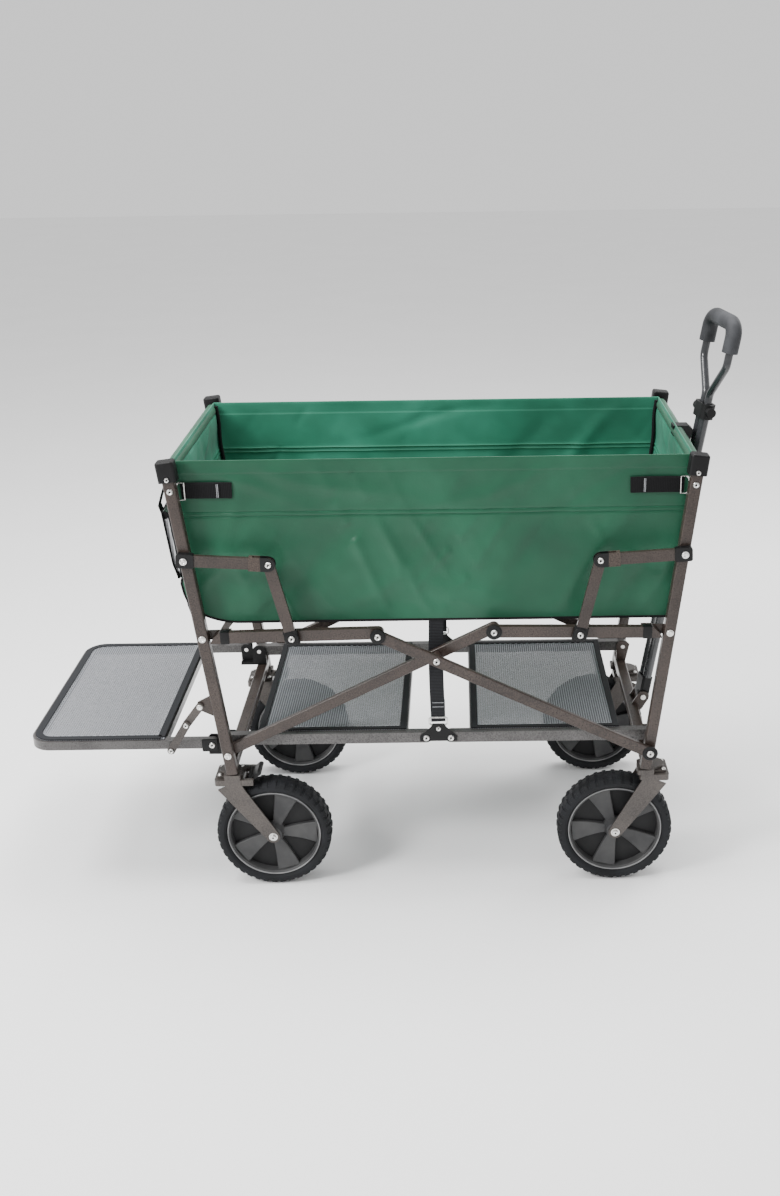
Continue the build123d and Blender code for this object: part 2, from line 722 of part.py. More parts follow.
# ---------------------------------------------------------------- casters
for side, end in ((-1, "rear"), (1, "front")):
    king, axle = (KING_REAR, AXLE_REAR) if side < 0 else (KING_FRONT, AXLE_FRONT)
    kx, ax = X0 + side * king, X0 + side * axle
    for yside, hand in ((-1, "near"), (1, "far")):
        yc = yside * WHEEL_Y
        with BuildPart() as fork:
            # crown plate
            with BuildSketch(Plane((kx, yc, 209.5))):
                RectangleRounded(52, 61, 6)
                if side < 0:
                    with Locations((33, 0)):
                        Rectangle(20, 60)
                    with Locations((37, 0)):
                        Rectangle(26, 44, mode=Mode.SUBTRACT)
                Circle(5 + RUN, mode=Mode.SUBTRACT)
            extrude(amount=11)
            # two legs
            for s in (-1, 1):
                y0 = yc + s * 27.5
                with BuildSketch(Plane(origin=(0, y0, 0), x_dir=(1, 0, 0), z_dir=(0, -1, 0))):
                    with BuildLine():
                        k, a = (kx, 214.0), (ax, AXLE_Z)
                        d = length(k, a)
                        ux, uz = (a[0] - k[0]) / d, (a[1] - k[1]) / d
                        nx, nz = -uz, ux
                        Polyline(
                            (k[0] + 22 * nx - 4 * ux, min(k[1] + 22 * nz, 219)),
                            (a[0] + 12 * nx, a[1] + 12 * nz),
                            (a[0] - 12 * nx, a[1] - 12 * nz),
                            (k[0] - 22 * nx - 4 * ux, min(k[1] - 22 * nz, 219)),
                            (k[0] + 22 * nx - 4 * ux, min(k[1] + 22 * nz, 219)),
                        )
                    make_face()
                    with Locations((ax, AXLE_Z)):
                        Circle(12)
                extrude(amount=-s * 3)
            # axle bolt
            with BuildSketch(Plane(origin=(0, yc - 33.5, 0), x_dir=(1, 0, 0), z_dir=(0, 1, 0))):
                with Locations((ax, -AXLE_Z)):
                    Circle(5)
            extrude(amount=67)
            if side < 0:
                # pin of the brake pedal
                with BuildSketch(Plane(origin=(0, yc - 24, 0), x_dir=(1, 0, 0), z_dir=(0, 1, 0))):
                    with Locations((kx + 36, -215)):
                        Circle(3)
                extrude(amount=48)
        save(fork, f"caster_fork_{end}_{hand}")

        with BuildPart() as tyre:
            with BuildSketch(Plane(origin=(ax, yc, AXLE_Z), x_dir=(1, 0, 0), z_dir=(0, 0, 1))):
                with BuildLine():
                    Polyline((85, -20), (96, -24), (101.5, -21), (104, -15), (104, 15), (101.5, 21), (96, 24), (85, 20), (85, -20))
                make_face()
            revolve(axis=Axis((ax, yc, AXLE_Z), (0, 1, 0)))
        save(tyre, f"tyre_{end}_{hand}")

        with BuildPart() as rim:
            wheel_plane = Plane(origin=(ax, yc - 9, AXLE_Z), x_dir=(1, 0, 0), z_dir=(0, 1, 0))
            with BuildSketch(Plane(origin=(ax, yc - 19, AXLE_Z), x_dir=(1, 0, 0), z_dir=(0, 1, 0))):
                Circle(84.97)
                Circle(78, mode=Mode.SUBTRACT)
            extrude(amount=38)
            with BuildSketch(Plane(origin=(ax, yc - 26.5, AXLE_Z), x_dir=(1, 0, 0), z_dir=(0, 1, 0))):
                Circle(15)
            extrude(amount=53)
            with BuildSketch(wheel_plane):
                for k in range(5):
                    t = radians(72 * k + 18 + (6 if side < 0 else 49))
                    with BuildLine():
                        w0, w1 = radians(14), radians(14)
                        Polyline(
                            (10 * cos(t - 0.7), 10 * sin(t - 0.7)), (79.5 * cos(t - w1), 79.5 * sin(t - w1)),
                            (79.5 * cos(t + w1), 79.5 * sin(t + w1)), (10 * cos(t + 0.7), 10 * sin(t + 0.7)),
                            (10 * cos(t - 0.7), 10 * sin(t - 0.7)),
                        )
                    make_face()
            extrude(amount=18)
            with BuildSketch(Plane(origin=(ax, yc - 28, AXLE_Z), x_dir=(1, 0, 0), z_dir=(0, 1, 0))):
                Circle(5 + RUN)
            extrude(amount=56, mode=Mode.SUBTRACT)
        save(rim, f"rim_{end}_{hand}")

        if side < 0:
            with BuildPart() as pedal:
                with BuildSketch(Plane(origin=(0, yc - 21.5, 0), x_dir=(1, 0, 0), z_dir=(0, 1, 0))):
                    with BuildLine():
                        px, pz = kx + 36, 215
                        Polyline(
                            (px - 2, -pz + 3), (px + 5.5, -pz + 1), (px + 20.5, -pz - 13), (px + 18, -pz - 16),
                            (px + 14, -pz - 16), (px + 3.2, -pz - 6), (px - 5.5, -pz - 2), (px - 2, -pz + 3),
                        )
                    make_face()
                    with Locations((px, -pz)):
                        Circle(6)
                        Circle(3 + RUN, mode=Mode.SUBTRACT)
                extrude(amount=43)
            save(pedal, f"brake_pedal_{hand}")
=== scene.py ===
import bpy, bmesh, json, math
from math import sin, cos, pi, radians
from mathutils import Vector, Matrix, noise

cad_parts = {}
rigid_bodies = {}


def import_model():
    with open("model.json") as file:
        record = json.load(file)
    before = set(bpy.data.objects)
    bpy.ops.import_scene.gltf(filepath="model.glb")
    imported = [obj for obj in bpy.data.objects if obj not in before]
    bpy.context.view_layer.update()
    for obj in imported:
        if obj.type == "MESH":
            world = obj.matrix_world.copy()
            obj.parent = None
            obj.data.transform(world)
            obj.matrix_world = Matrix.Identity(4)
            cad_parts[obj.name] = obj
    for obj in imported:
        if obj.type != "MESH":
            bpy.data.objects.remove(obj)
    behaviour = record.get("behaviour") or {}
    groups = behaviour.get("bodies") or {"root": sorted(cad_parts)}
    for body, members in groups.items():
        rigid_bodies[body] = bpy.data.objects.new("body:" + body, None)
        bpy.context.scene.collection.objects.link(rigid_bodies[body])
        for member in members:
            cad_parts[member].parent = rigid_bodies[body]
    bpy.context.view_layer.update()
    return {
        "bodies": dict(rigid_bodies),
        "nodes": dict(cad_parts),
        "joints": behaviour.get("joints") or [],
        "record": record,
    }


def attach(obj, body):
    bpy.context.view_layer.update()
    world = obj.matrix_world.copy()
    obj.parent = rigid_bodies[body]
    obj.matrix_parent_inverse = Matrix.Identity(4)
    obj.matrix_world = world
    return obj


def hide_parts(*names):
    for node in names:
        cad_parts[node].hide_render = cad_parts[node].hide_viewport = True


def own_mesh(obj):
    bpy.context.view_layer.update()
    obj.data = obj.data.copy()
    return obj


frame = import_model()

X0 = 0.09945
LEAN = 0.1195
NODES = frame["nodes"]


def post_x(z):
    """Half length of the wagon at the post axis, metres from the middle."""
    return 0.3714 + LEAN * (z - 0.2697)


# ------------------------------------------------------------------ materials
def new_mat(name, color, rough=0.5, metal=0.0, spec=0.5):
    m = bpy.data.materials.new(name)
    m.use_nodes = True
    nt = m.node_tree
    b = nt.nodes["Principled BSDF"]
    b.inputs["Base Color"].default_value = (*color, 1)
    b.inputs["Roughness"].default_value = rough
    b.inputs["Metallic"].default_value = metal
    b.inputs["Specular IOR Level"].default_value = spec
    return m, nt, b


def coords(nt, kind="Object"):
    t = nt.nodes.new("ShaderNodeTexCoord")
    return t.outputs[kind]


def mapped(nt, scale=(1, 1, 1), rot=(0, 0, 0)):
    mp = nt.nodes.new("ShaderNodeMapping")
    mp.inputs["Scale"].default_value = scale
    mp.inputs["Rotation"].default_value = rot
    nt.links.new(coords(nt), mp.inputs["Vector"])
    return mp.outputs["Vector"]


def noise_tex(nt, scale, detail=3.0, rough=0.5, vec=None):
    n = nt.nodes.new("ShaderNodeTexNoise")
    n.inputs["Scale"].default_value = scale
    n.inputs["Detail"].default_value = detail
    n.inputs["Roughness"].default_value = rough
    nt.links.new(vec if vec is not None else coords(nt), n.inputs["Vector"])
    return n.outputs["Fac"]


def ramp(nt, fac, stops):
    r = nt.nodes.new("ShaderNodeValToRGB")
    while len(r.color_ramp.elements) < len(stops):
        r.color_ramp.elements.new(0.5)
    for e, (p, c) in zip(r.color_ramp.elements, stops):
        e.position = p
        e.color = (*c, 1) if len(c) == 3 else c
    nt.links.new(fac, r.inputs["Fac"])
    return r.outputs["Color"]


def grey_ramp(nt, fac, a, b, lo=0.3, hi=0.7):
    return ramp(nt, fac, [(lo, (a, a, a)), (hi, (b, b, b))])


def bump(nt, b, height, strength=0.3, distance=0.001, into=None):
    n = nt.nodes.new("ShaderNodeBump")
    n.inputs["Strength"].default_value = strength
    n.inputs["Distance"].default_value = distance
    nt.links.new(height, n.inputs["Height"])
    if into is not None:
        nt.links.new(into, n.inputs["Normal"])
    nt.links.new(n.outputs["Normal"], b.inputs["Normal"])
    return n.outputs["Normal"]


def math_node(nt, op, a, b=None):
    n = nt.nodes.new("ShaderNodeMath")
    n.operation = op
    for i, v in enumerate((a, b)):
        if v is None:
            continue
        if isinstance(v, (int, float)):
            n.inputs[i].default_value = v
        else:
            nt.links.new(v, n.inputs[i])
    return n.outputs[0]


def wave(nt, vec, scale, axis="X", kind="SIN"):
    w = nt.nodes.new("ShaderNodeTexWave")
    w.wave_type = "BANDS"
    w.bands_direction = axis
    w.wave_profile = kind
    w.inputs["Scale"].default_value = scale
    nt.links.new(vec, w.inputs["Vector"])
    return w.outputs["Fac"]


def linear(r, g, b):
    f = lambda c: ((c / 255 + 0.055) / 1.055) ** 2.4 if c > 10 else c / 255 / 12.92
    return (f(r), f(g), f(b))


def cloth_material(name, dark, mid, light, weave=900.0, rough=0.42):
    """Coated polyester: satin, a fine plain weave, soft cloudy shade changes."""
    m, nt, b = new_mat(name, mid, rough)
    cloud = noise_tex(nt, 6.0, 3.0, 0.55)
    col = ramp(nt, cloud, [(0.28, dark), (0.5, mid), (0.74, light)])
    nt.links.new(col, b.inputs["Base Color"])
    o = mapped(nt, (1, 1, 1))
    wx = wave(nt, o, weave / 6.283, "X")
    wz = wave(nt, o, weave / 6.283, "Z")
    wy = wave(nt, o, weave / 6.283, "Y")
    w = math_node(nt, "ADD", math_node(nt, "ADD", wx, wz), wy)
    fine = noise_tex(nt, 90.0, 4.0, 0.6)
    n1 = bump(nt, b, fine, 0.12, 0.0015)
    bump(nt, b, w, 0.10, 0.0003, into=n1)
    rr = grey_ramp(nt, noise_tex(nt, 14.0, 4.0), rough - 0.07, rough + 0.10)
    nt.links.new(rr, b.inputs["Roughness"])
    b.inputs["Sheen Weight"].default_value = 0.06
    b.inputs["Specular IOR Level"].default_value = 0.26
    return m


def paint_material(name, a, c, rough=0.38, metal=0.15, grain=420.0):
    """Hammertone powder coat: a fine speckle in colour and height."""
    m, nt, b = new_mat(name, a, rough, metal, 0.3)
    sp = noise_tex(nt, grain, 4.0, 0.65)
    big = noise_tex(nt, 18.0, 3.0)
    mix = math_node(nt, "ADD", math_node(nt, "MULTIPLY", sp, 0.7), math_node(nt, "MULTIPLY", big, 0.3))
    col = ramp(nt, mix, [(0.38, a), (0.62, c)])
    nt.links.new(col, b.inputs["Base Color"])
    rr = grey_ramp(nt, sp, rough - 0.08, rough + 0.12)
    nt.links.new(rr, b.inputs["Roughness"])
    bump(nt, b, sp, 0.22, 0.0006)
    b.inputs["Coat Weight"].default_value = 0.22
    b.inputs["Coat Roughness"].default_value = 0.2
    return m


def plastic_material(name, a, c, rough=0.45, grain=700.0, strength=0.12, spec=0.22):
    m, nt, b = new_mat(name, a, rough, 0.0, spec)
    n = noise_tex(nt, grain, 3.0)
    big = noise_tex(nt, 22.0, 3.0)
    nt.links.new(ramp(nt, big, [(0.35, a), (0.7, c)]), b.inputs["Base Color"])
    nt.links.new(grey_ramp(nt, big, rough - 0.08, rough + 0.1), b.inputs["Roughness"])
    bump(nt, b, n, strength, 0.0004)
    return m


def mesh_material(name, a, c, pitch=0.0042, hole=0.52):
    """Open plain weave of coated yarn: yarn both ways with see-through holes between."""
    m, nt, b = new_mat(name, a, 0.55)
    o = mapped(nt, (1, 1, 1))
    k = 2 * pi / pitch / 20.0
    wx = wave(nt, o, k, "X")
    wy = wave(nt, o, k, "Y")
    yarn = math_node(nt, "MAXIMUM", wx, wy)
    alpha = math_node(nt, "GREATER_THAN", yarn, hole)
    nt.links.new(alpha, b.inputs["Alpha"])
    tone = math_node(nt, "ADD", math_node(nt, "MULTIPLY", wx, 0.5), math_node(nt, "MULTIPLY", noise_tex(nt, 260.0, 3.0), 0.5))
    nt.links.new(ramp(nt, tone, [(0.3, a), (0.75, c)]), b.inputs["Base Color"])
    bump(nt, b, yarn, 0.5, 0.0008)
    return m


def webbing_material(name, a, c, axis="Z"):
    m, nt, b = new_mat(name, a, 0.75, 0.0, 0.15)
    o = mapped(nt, (1, 1, 1))
    w = wave(nt, o, 110.0, axis)
    n = noise_tex(nt, 500.0, 3.0)
    t = math_node(nt, "ADD", math_node(nt, "MULTIPLY", w, 0.6), math_node(nt, "MULTIPLY", n, 0.4))
    nt.links.new(ramp(nt, t, [(0.25, a), (0.8, c)]), b.inputs["Base Color"])
    bump(nt, b, t, 0.45, 0.0006)
    b.inputs["Sheen Weight"].default_value = 0.05
    return m


def steel_material(name, a, c, rough=0.28):
    m, nt, b = new_mat(name, a, rough, 1.0)
    n = noise_tex(nt, 350.0, 4.0)
    nt.links.new(ramp(nt, n, [(0.35, a), (0.7, c)]), b.inputs["Base Color"])
    nt.links.new(grey_ramp(nt, n, rough - 0.08, rough + 0.15), b.inputs["Roughness"])
    bump(nt, b, n, 0.08, 0.0003)
    return m


G_DARK, G_MID, G_LIGHT = linear(19, 63, 44), linear(24, 74, 52), linear(33, 88, 64)
MAT = {
    "green": cloth_material("green_polyester", G_DARK, G_MID, G_LIGHT),
    # a lighter copy of the same green cloth for the inside, the basket bottom and the floor pads: painted light for the
    # shaded inside
    "green_painted_light": cloth_material("green_painted_light", linear(30, 88, 68), linear(38, 104, 82), linear(52, 122, 100)),
    "paint": paint_material("bronze_hammertone", linear(34, 27, 24), linear(64, 54, 49), rough=0.32),
    "deck_paint": paint_material("deck_hammertone", linear(50, 48, 48), linear(88, 86, 85), rough=0.32),
    "fork": paint_material("fork_hammertone", linear(48, 44, 42), linear(78, 72, 68), rough=0.36),
    "handle": plastic_material("handle_paint", linear(34, 35, 37), linear(50, 51, 54), 0.2, 500.0, 0.04, 0.6),
    "black": plastic_material("black_nylon", linear(8, 8, 9), linear(18, 18, 19), 0.46),
    "charcoal": plastic_material("rim_plastic", linear(52, 52, 53), linear(70, 70, 70), 0.5, 500.0, 0.16),
    "rimdark": plastic_material("rim_shadow", linear(20, 20, 21), linear(34, 34, 35), 0.6, 500.0, 0.16),
    "rimedge": plastic_material("rim_edge", linear(105, 105, 106), linear(140, 140, 140), 0.38, 500.0, 0.08),
    "tyre": plastic_material("tyre_rubber", linear(14, 15, 17), linear(30, 31, 34), 0.68, 380.0, 0.35),
    "foam": plastic_material("grip_foam", linear(30, 31, 33), linear(64, 65, 68), 0.6, 620.0, 0.5),
    "steel": steel_material("zinc_steel", (0.62, 0.61, 0.59), (0.85, 0.84, 0.82)),
    # near-black for the rivet hollows: painted shade inside the holes
    "dark": plastic_material("rivet_hollow_painted_shade", (0.006, 0.006, 0.006), (0.02, 0.02, 0.02), 0.6),
    "mesh": mesh_material("grey_mesh", linear(78, 80, 84), linear(138, 140, 145)),
    "pocketmesh": mesh_material("pocket_mesh", linear(150, 152, 154), linear(205, 206, 208), 0.0046, 0.55),
    "binding": webbing_material("black_binding", linear(12, 12, 14), linear(34, 35, 38)),
    "webbing": webbing_material("grey_webbing", linear(16, 16, 18), linear(40, 41, 44)),
    "blackweb": webbing_material("black_webbing", linear(4, 4, 5), linear(16, 16, 18), "X"),
    "thread": plastic_material("lacing_thread", linear(150, 152, 156), linear(190, 192, 196), 0.6),
    "greenthread": plastic_material("green_thread", linear(26, 78, 56), linear(40, 98, 72), 0.6),
}


def paint(obj, mat):
    if obj.data.materials:
        obj.data.materials[0] = MAT[mat]
        for p in getattr(obj.data, "polygons", []):
            p.material_index = 0
    else:
        obj.data.materials.append(MAT[mat])
    return obj


def use(node, mat):
    o = NODES[node]
    if len(o.material_slots) == 0:
        o.data.materials.append(MAT[mat])
    for s in o.material_slots:
        s.link = "OBJECT"
        s.material = MAT[mat]


# ------------------------------------------------------------------ mesh helpers
def obj_from(name, verts, faces, mat, body, smooth=True, node=None, slot=None, angle=35):
    me = bpy.data.meshes.new(name)
    me.from_pydata([tuple(v) for v in verts], [], faces)
    me.update()
    bm = bmesh.new()
    bm.from_mesh(me)
    bmesh.ops.recalc_face_normals(bm, faces=bm.faces)
    bm.to_mesh(me)
    bm.free()
    if smooth:
        me.shade_smooth()
        try:
            me.set_sharp_from_angle(angle=radians(angle))
        except Exception:
            pass
    o = bpy.data.objects.new(name, me)
    bpy.context.scene.collection.objects.link(o)
    o.data.materials.append(MAT[mat])
    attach(o, body)
    return o


class Mesh:
    """Collects simple bodies into one piece."""

    def __init__(self):
        self.v, self.f = [], []

    def add(self, verts, faces):
        n = len(self.v)
        self.v += [Vector(p) for p in verts]
        self.f += [tuple(i + n for i in f) for f in faces]

    def grid(self, rows, closed_u=False, closed_v=False, caps=False):
        nu, nv = len(rows), len(rows[0])
        verts = [p for r in rows for p in r]
        faces = []
        for i in range(nu if closed_u else nu - 1):
            for j in range(nv if closed_v else nv - 1):
                a, b = i * nv + j, i * nv + (j + 1) % nv
                c, d = ((i + 1) % nu) * nv + (j + 1) % nv, ((i + 1) % nu) * nv + j
                faces.append((a, b, c, d))
        if caps:
            faces.append(tuple(reversed(range(nv))))
            faces.append(tuple((nu - 1) * nv + j for j in range(nv)))
        self.add(verts, faces)

    def tube(self, path, r, seg=12, closed=False, caps=True):
        """A round tube along a path."""
        path = [Vector(p) for p in path]
        rows, n = [], len(path)
        t0 = (path[1] - path[0]).normalized()
        ref = Vector((0, 0, 1)) if abs(t0.z) < 0.9 else Vector((1, 0, 0))
        u = t0.cross(ref).normalized()
        for i, p in enumerate(path):
            if closed:
                t = (path[(i + 1) % n] - path[i - 1]).normalized()
            else:
                t = (path[min(i + 1, n - 1)] - path[max(i - 1, 0)]).normalized()
            u = (u - t * u.dot(t)).normalized()
            w = t.cross(u)
            rr = r(i / (n - 1)) if callable(r) else r
            rows.append([p + (u * cos(a) + w * sin(a)) * rr for a in [2 * pi * k / seg for k in range(seg)]])
        self.grid(rows, closed_u=closed, closed_v=True, caps=caps and not closed)

    def lathe(self, centre, axis, profile, seg=32):
        """Revolves (radius, distance along axis) pairs; the profile is a closed loop or starts and ends on the axis."""
        axis = Vector(axis).normalized()
        ref = Vector((0, 0, 1)) if abs(axis.z) < 0.9 else Vector((1, 0, 0))
        u = axis.cross(ref).normalized()
        w = axis.cross(u)
        c = Vector(centre)
        rows = []
        for k in range(seg):
            a = 2 * pi * k / seg
            d = u * cos(a) + w * sin(a)
            rows.append([c + d * max(r, 1e-5) + axis * h for r, h in profile])
        self.grid(rows, closed_u=True)

    def ring(self, centre, axis, profile, seg=48):
        axis = Vector(axis).normalized()
        ref = Vector((0, 0, 1)) if abs(axis.z) < 0.9 else Vector((1, 0, 0))
        u = axis.cross(ref).normalized()
        w = axis.cross(u)
        c = Vector(centre)
        rows = [[c + (u * cos(2 * pi * k / seg) + w * sin(2 * pi * k / seg)) * r + axis * h for r, h in profile] for k in range(seg)]
        self.grid(rows, closed_u=True, closed_v=True)

    def strip(self, path, width, thick, normals, seg_w=2):
        """A flat strap along a path: width lies across, thick along the normal."""
        path = [Vector(p) for p in path]
        rows, n = [], len(path)
        for i, p in enumerate(path):
            t = (path[min(i + 1, n - 1)] - path[max(i - 1, 0)]).normalized()
            nn = Vector(normals[i] if isinstance(normals, list) else normals)
            nn = (nn - t * nn.dot(t)).normalized()
            s = t.cross(nn).normalized()
            w, h = width / 2, thick / 2
            e = min(h * 0.8, w * 0.3)
            ring = [(-w, -h + e), (-w + e, -h), (w - e, -h), (w, -h + e), (w, h - e), (w - e, h), (-w + e, h), (-w, h - e)]
            rows.append([p + s * a + nn * b for a, b in ring])
        self.grid(rows, closed_v=True, caps=True)

    def box(self, lo, hi, bevel=0.0015, frame=None):
        lo, hi = Vector(lo), Vector(hi)
        bm = bmesh.new()
        bmesh.ops.create_cube(bm, size=1.0)
        for v in bm.verts:
            v.co = Vector(((lo.x + hi.x) / 2 + v.co.x * (hi.x - lo.x), (lo.y + hi.y) / 2 + v.co.y * (hi.y - lo.y), (lo.z + hi.z) / 2 + v.co.z * (hi.z - lo.z)))
        if bevel:
            bmesh.ops.bevel(bm, geom=bm.edges[:], offset=bevel, segments=2, affect="EDGES", profile=0.7)
        bm.verts.index_update()
        vs = [(frame @ v.co) if frame else v.co.copy() for v in bm.verts]
        fs = [tuple(x.index for x in f.verts) for f in bm.faces]
        bm.free()
        self.add(vs, fs)

    def make(self, name, mat, body, **k):
        return obj_from(name, self.v, self.f, mat, body, **k)


def side_frame(a, b, y=0.0):
    """A frame whose x runs from a to b in side view, z across it, y along +Y."""
    d = Vector((b[0] - a[0], 0, b[1] - a[1])).normalized()
    up = Vector((-d.z, 0, d.x))
    m = Matrix(((d.x, 0, up.x, a[0]), (0, 1, 0, y), (d.z, 0, up.z, a[1]), (0, 0, 0, 1)))
    return m


# ------------------------------------------------------------------ camera
cam_data = bpy.data.cameras.new("camera")
cam = bpy.data.objects.new("camera", cam_data)
bpy.context.scene.collection.objects.link(cam)
cam_data.sensor_width = 36.0
cam_data.sensor_fit = "AUTO"
cam_data.lens = 40.80
cam_data.shift_x = -0.0611
cam_data.clip_start, cam_data.clip_end = 0.1, 50
pitch, roll = radians(21.46), radians(-0.79)
fwd = Vector((0, cos(pitch), -sin(pitch)))
up = Vector((0, sin(pitch), cos(pitch)))
right = Vector((1, 0, 0))
r3 = right * cos(roll) + up * sin(roll)
u3 = up * cos(roll) - right * sin(roll)
cam.matrix_world = Matrix(
    (
        (r3.x, u3.x, -fwd.x, 0.97 * 0.0482 + X0),
        (r3.y, u3.y, -fwd.y, -0.97 * 2.4341),
        (r3.z, u3.z, -fwd.z, 0.97 * (1.3632 + 0.078)),
        (0, 0, 0, 1),
    )
)
bpy.context.scene.camera = cam

# ------------------------------------------------------------------ studio
floor_mesh = bpy.data.meshes.new("floor")
floor_mesh.from_pydata([(-12, -12, 0), (12, -12, 0), (12, 12, 0), (-12, 12, 0)], [], [(0, 1, 2, 3)])
floor = bpy.data.objects.new("studio_floor", floor_mesh)
bpy.context.scene.collection.objects.link(floor)
fm, fnt, fb = new_mat("studio_floor", (0.86, 0.86, 0.86), 0.9)
nt_n = noise_tex(fnt, 3.0)
fnt.links.new(grey_ramp(fnt, nt_n, 0.90, 0.92), fb.inputs["Base Color"])
floor_mesh.materials.append(fm)

world = bpy.data.worlds.new("studio")
bpy.context.scene.world = world
world.use_nodes = True
world.node_tree.nodes["Background"].inputs["Color"].default_value = (1, 1, 1, 1)
world.node_tree.nodes["Background"].inputs["Strength"].default_value = 1.0


def area(name, loc, target, size, power):
    l = bpy.data.lights.new(name, "AREA")
    l.shape = "RECTANGLE"
    l.size, l.size_y = size
    l.energy = power
    o = bpy.data.objects.new(name, l)
    o.location = loc
    o.rotation_mode = "QUATERNION"
    o.rotation_quaternion = (Vector(target) - Vector(loc)).to_track_quat("-Z", "Y")
    bpy.context.scene.collection.objects.link(o)
    return o


area("key", (-2.4, -1.9, 2.6), (0, 0, 0.55), (0.9, 0.9), 125)
area("top", (0.5, 0.4, 3.0), (0, 0, 0.4), (2.0, 1.4), 95)
area("fill", (-1.3, -0.3, 2.7), (0.35, 0.1, 0.62), (0.9, 0.9), 60)
area("rim", (2.4, 1.8, 1.8), (0, 0, 0.5), (1.4, 1.4), 35)

# ------------------------------------------------------------------ carried-over CAD nodes
for n in ("rear_post_near", "rear_post_far", "front_post_near", "front_post_far", "rear_cross_tubes", "front_cross_tubes",
          "scissor_bars_rear", "scissor_bars_front", "side_rails_rear", "side_rails_front", "struts_rear", "struts_front",
          "elbow_links_rear", "elbow_links_front"):
    use(n, "paint")
for n in ("deck_frame_rear", "deck_frame_front", "tailgate_frame"):
    use(n, "deck_paint")
for n in ("rear_post_caps", "front_post_caps", "strut_end_caps_rear", "strut_end_caps_front", "handle_clip",
          "handle_collar", "handle_yoke", "brake_pedal_near", "brake_pedal_far", "rear_hinge_brackets", "centre_brackets"):
    use(n, "black")
for n in ("tailgate_braces_upper", "tailgate_braces_lower", "rear_caster_sockets", "front_caster_sockets"):
    use(n, "fork")
for e in ("rear", "front"):
    for h in ("near", "far"):
        use(f"caster_fork_{e}_{h}", "fork")
        use(f"rim_{e}_{h}", "charcoal")
        use(f"tyre_{e}_{h}", "tyre")
for n in ("handle_stem", "handle_loop"):
    use(n, "handle")
use("handle_grip", "foam")
for n in ("rear_frame_rivets", "front_frame_rivets"):
    use(n, "steel")
# the floor boards take the lighter copy of the cloth, painted light for the inside of the basket
for n in ("floor_board_rear", "floor_board_front"):
    use(n, "green_painted_light")

# the steel cheeks behind each black clevis are painted like the bars
for side, end in ((-1, "rear"), (1, "front")):
    m, nt, b = new_mat(f"clevis_{end}", (0.02, 0.02, 0.02), 0.42, 0.0, 0.25)
    sep = nt.nodes.new("ShaderNodeSeparateXYZ")
    nt.links.new(coords(nt), sep.inputs[0])
    lo, hi = sorted((X0 + side * (0.2756 + 0.0135), X0 + side * (0.2756 + 0.040)))
    inside = math_node(nt, "MULTIPLY", math_node(nt, "GREATER_THAN", sep.outputs[0], lo), math_node(nt, "LESS_THAN", sep.outputs[0], hi))
    sp = noise_tex(nt, 420.0, 4.0, 0.65)
    steel = ramp(nt, sp, [(0.38, linear(44, 36, 32)), (0.62, linear(78, 68, 62))])
    nylon = ramp(nt, sp, [(0.38, linear(8, 8, 9)), (0.62, linear(18, 18, 19))])
    mx = nt.nodes.new("ShaderNodeMix")
    mx.data_type = "RGBA"
    nt.links.new(inside, mx.inputs[0])
    nt.links.new(nylon, mx.inputs[6])
    nt.links.new(steel, mx.inputs[7])
    nt.links.new(mx.outputs[2], b.inputs["Base Color"])
    nt.links.new(grey_ramp(nt, sp, 0.34, 0.5), b.inputs["Roughness"])
    bump(nt, b, sp, 0.2, 0.0006)
    MAT[f"clevis_{end}"] = m
    use(f"strut_end_caps_{end}", f"clevis_{end}")

# ------------------------------------------------------------------ rivets
P1, P2, P4 = (0.3714, 0.2697), (post_x(0.4942), 0.4942), (post_x(0.6394), 0.6394)
Q, E, F = (0.0986, 0.4991), (0.2756, 0.6310), (0.2446, 0.4971)
CR, BR = (post_x(0.7768), 0.7768), (post_x(0.7557), 0.7557)


def side_pt(side, p):
    return (X0 + side * p[0], p[1])


def hollow_rivet(m, x, z, y, ys, r=0.0058):
    """A domed tubular rivet head standing on a face at |y|, seen from outside."""
    prof = [(0.0, 0.0006), (r * 0.30, 0.0006), (r * 0.36, 0.0020), (r * 0.55, 0.0028), (r * 0.80, 0.0024), (r * 0.97, 0.0012), (r, 0.0), (r * 0.98, -0.0004)]
    m.lathe((x, ys * y, z), (0, ys, 0), prof, seg=20)


def rivet_set(name, body, items):
    m, d = Mesh(), Mesh()
    for x, z, y, r in items:
        for ys in (-1, 1):
            hollow_rivet(m, x, z, y, ys, r)
            # a near-black disc in each rivet's hollow, painted shade for the inside of the hole
            d.lathe((x, ys * (y + 0.0007), z), (0, ys, 0), [(0.0, 0.0003), (r * 0.3, 0.0003), (r * 0.31, 0.0)], seg=14)
    m.make(name, "steel", body, slot="rivet_steel")
    d.make(name + "_hollow_shade", "dark", body, slot="black_plastic")
    return m


def cap_disc(m, x, z, y, ys, r, t):
    prof = [(0.0, t), (r * 0.82, t), (r * 0.95, t * 0.8), (r, t * 0.35), (r, -0.0002), (0.0, -0.0002)]
    m.lathe((x, ys * y, z), (0, ys, 0), prof, seg=28)


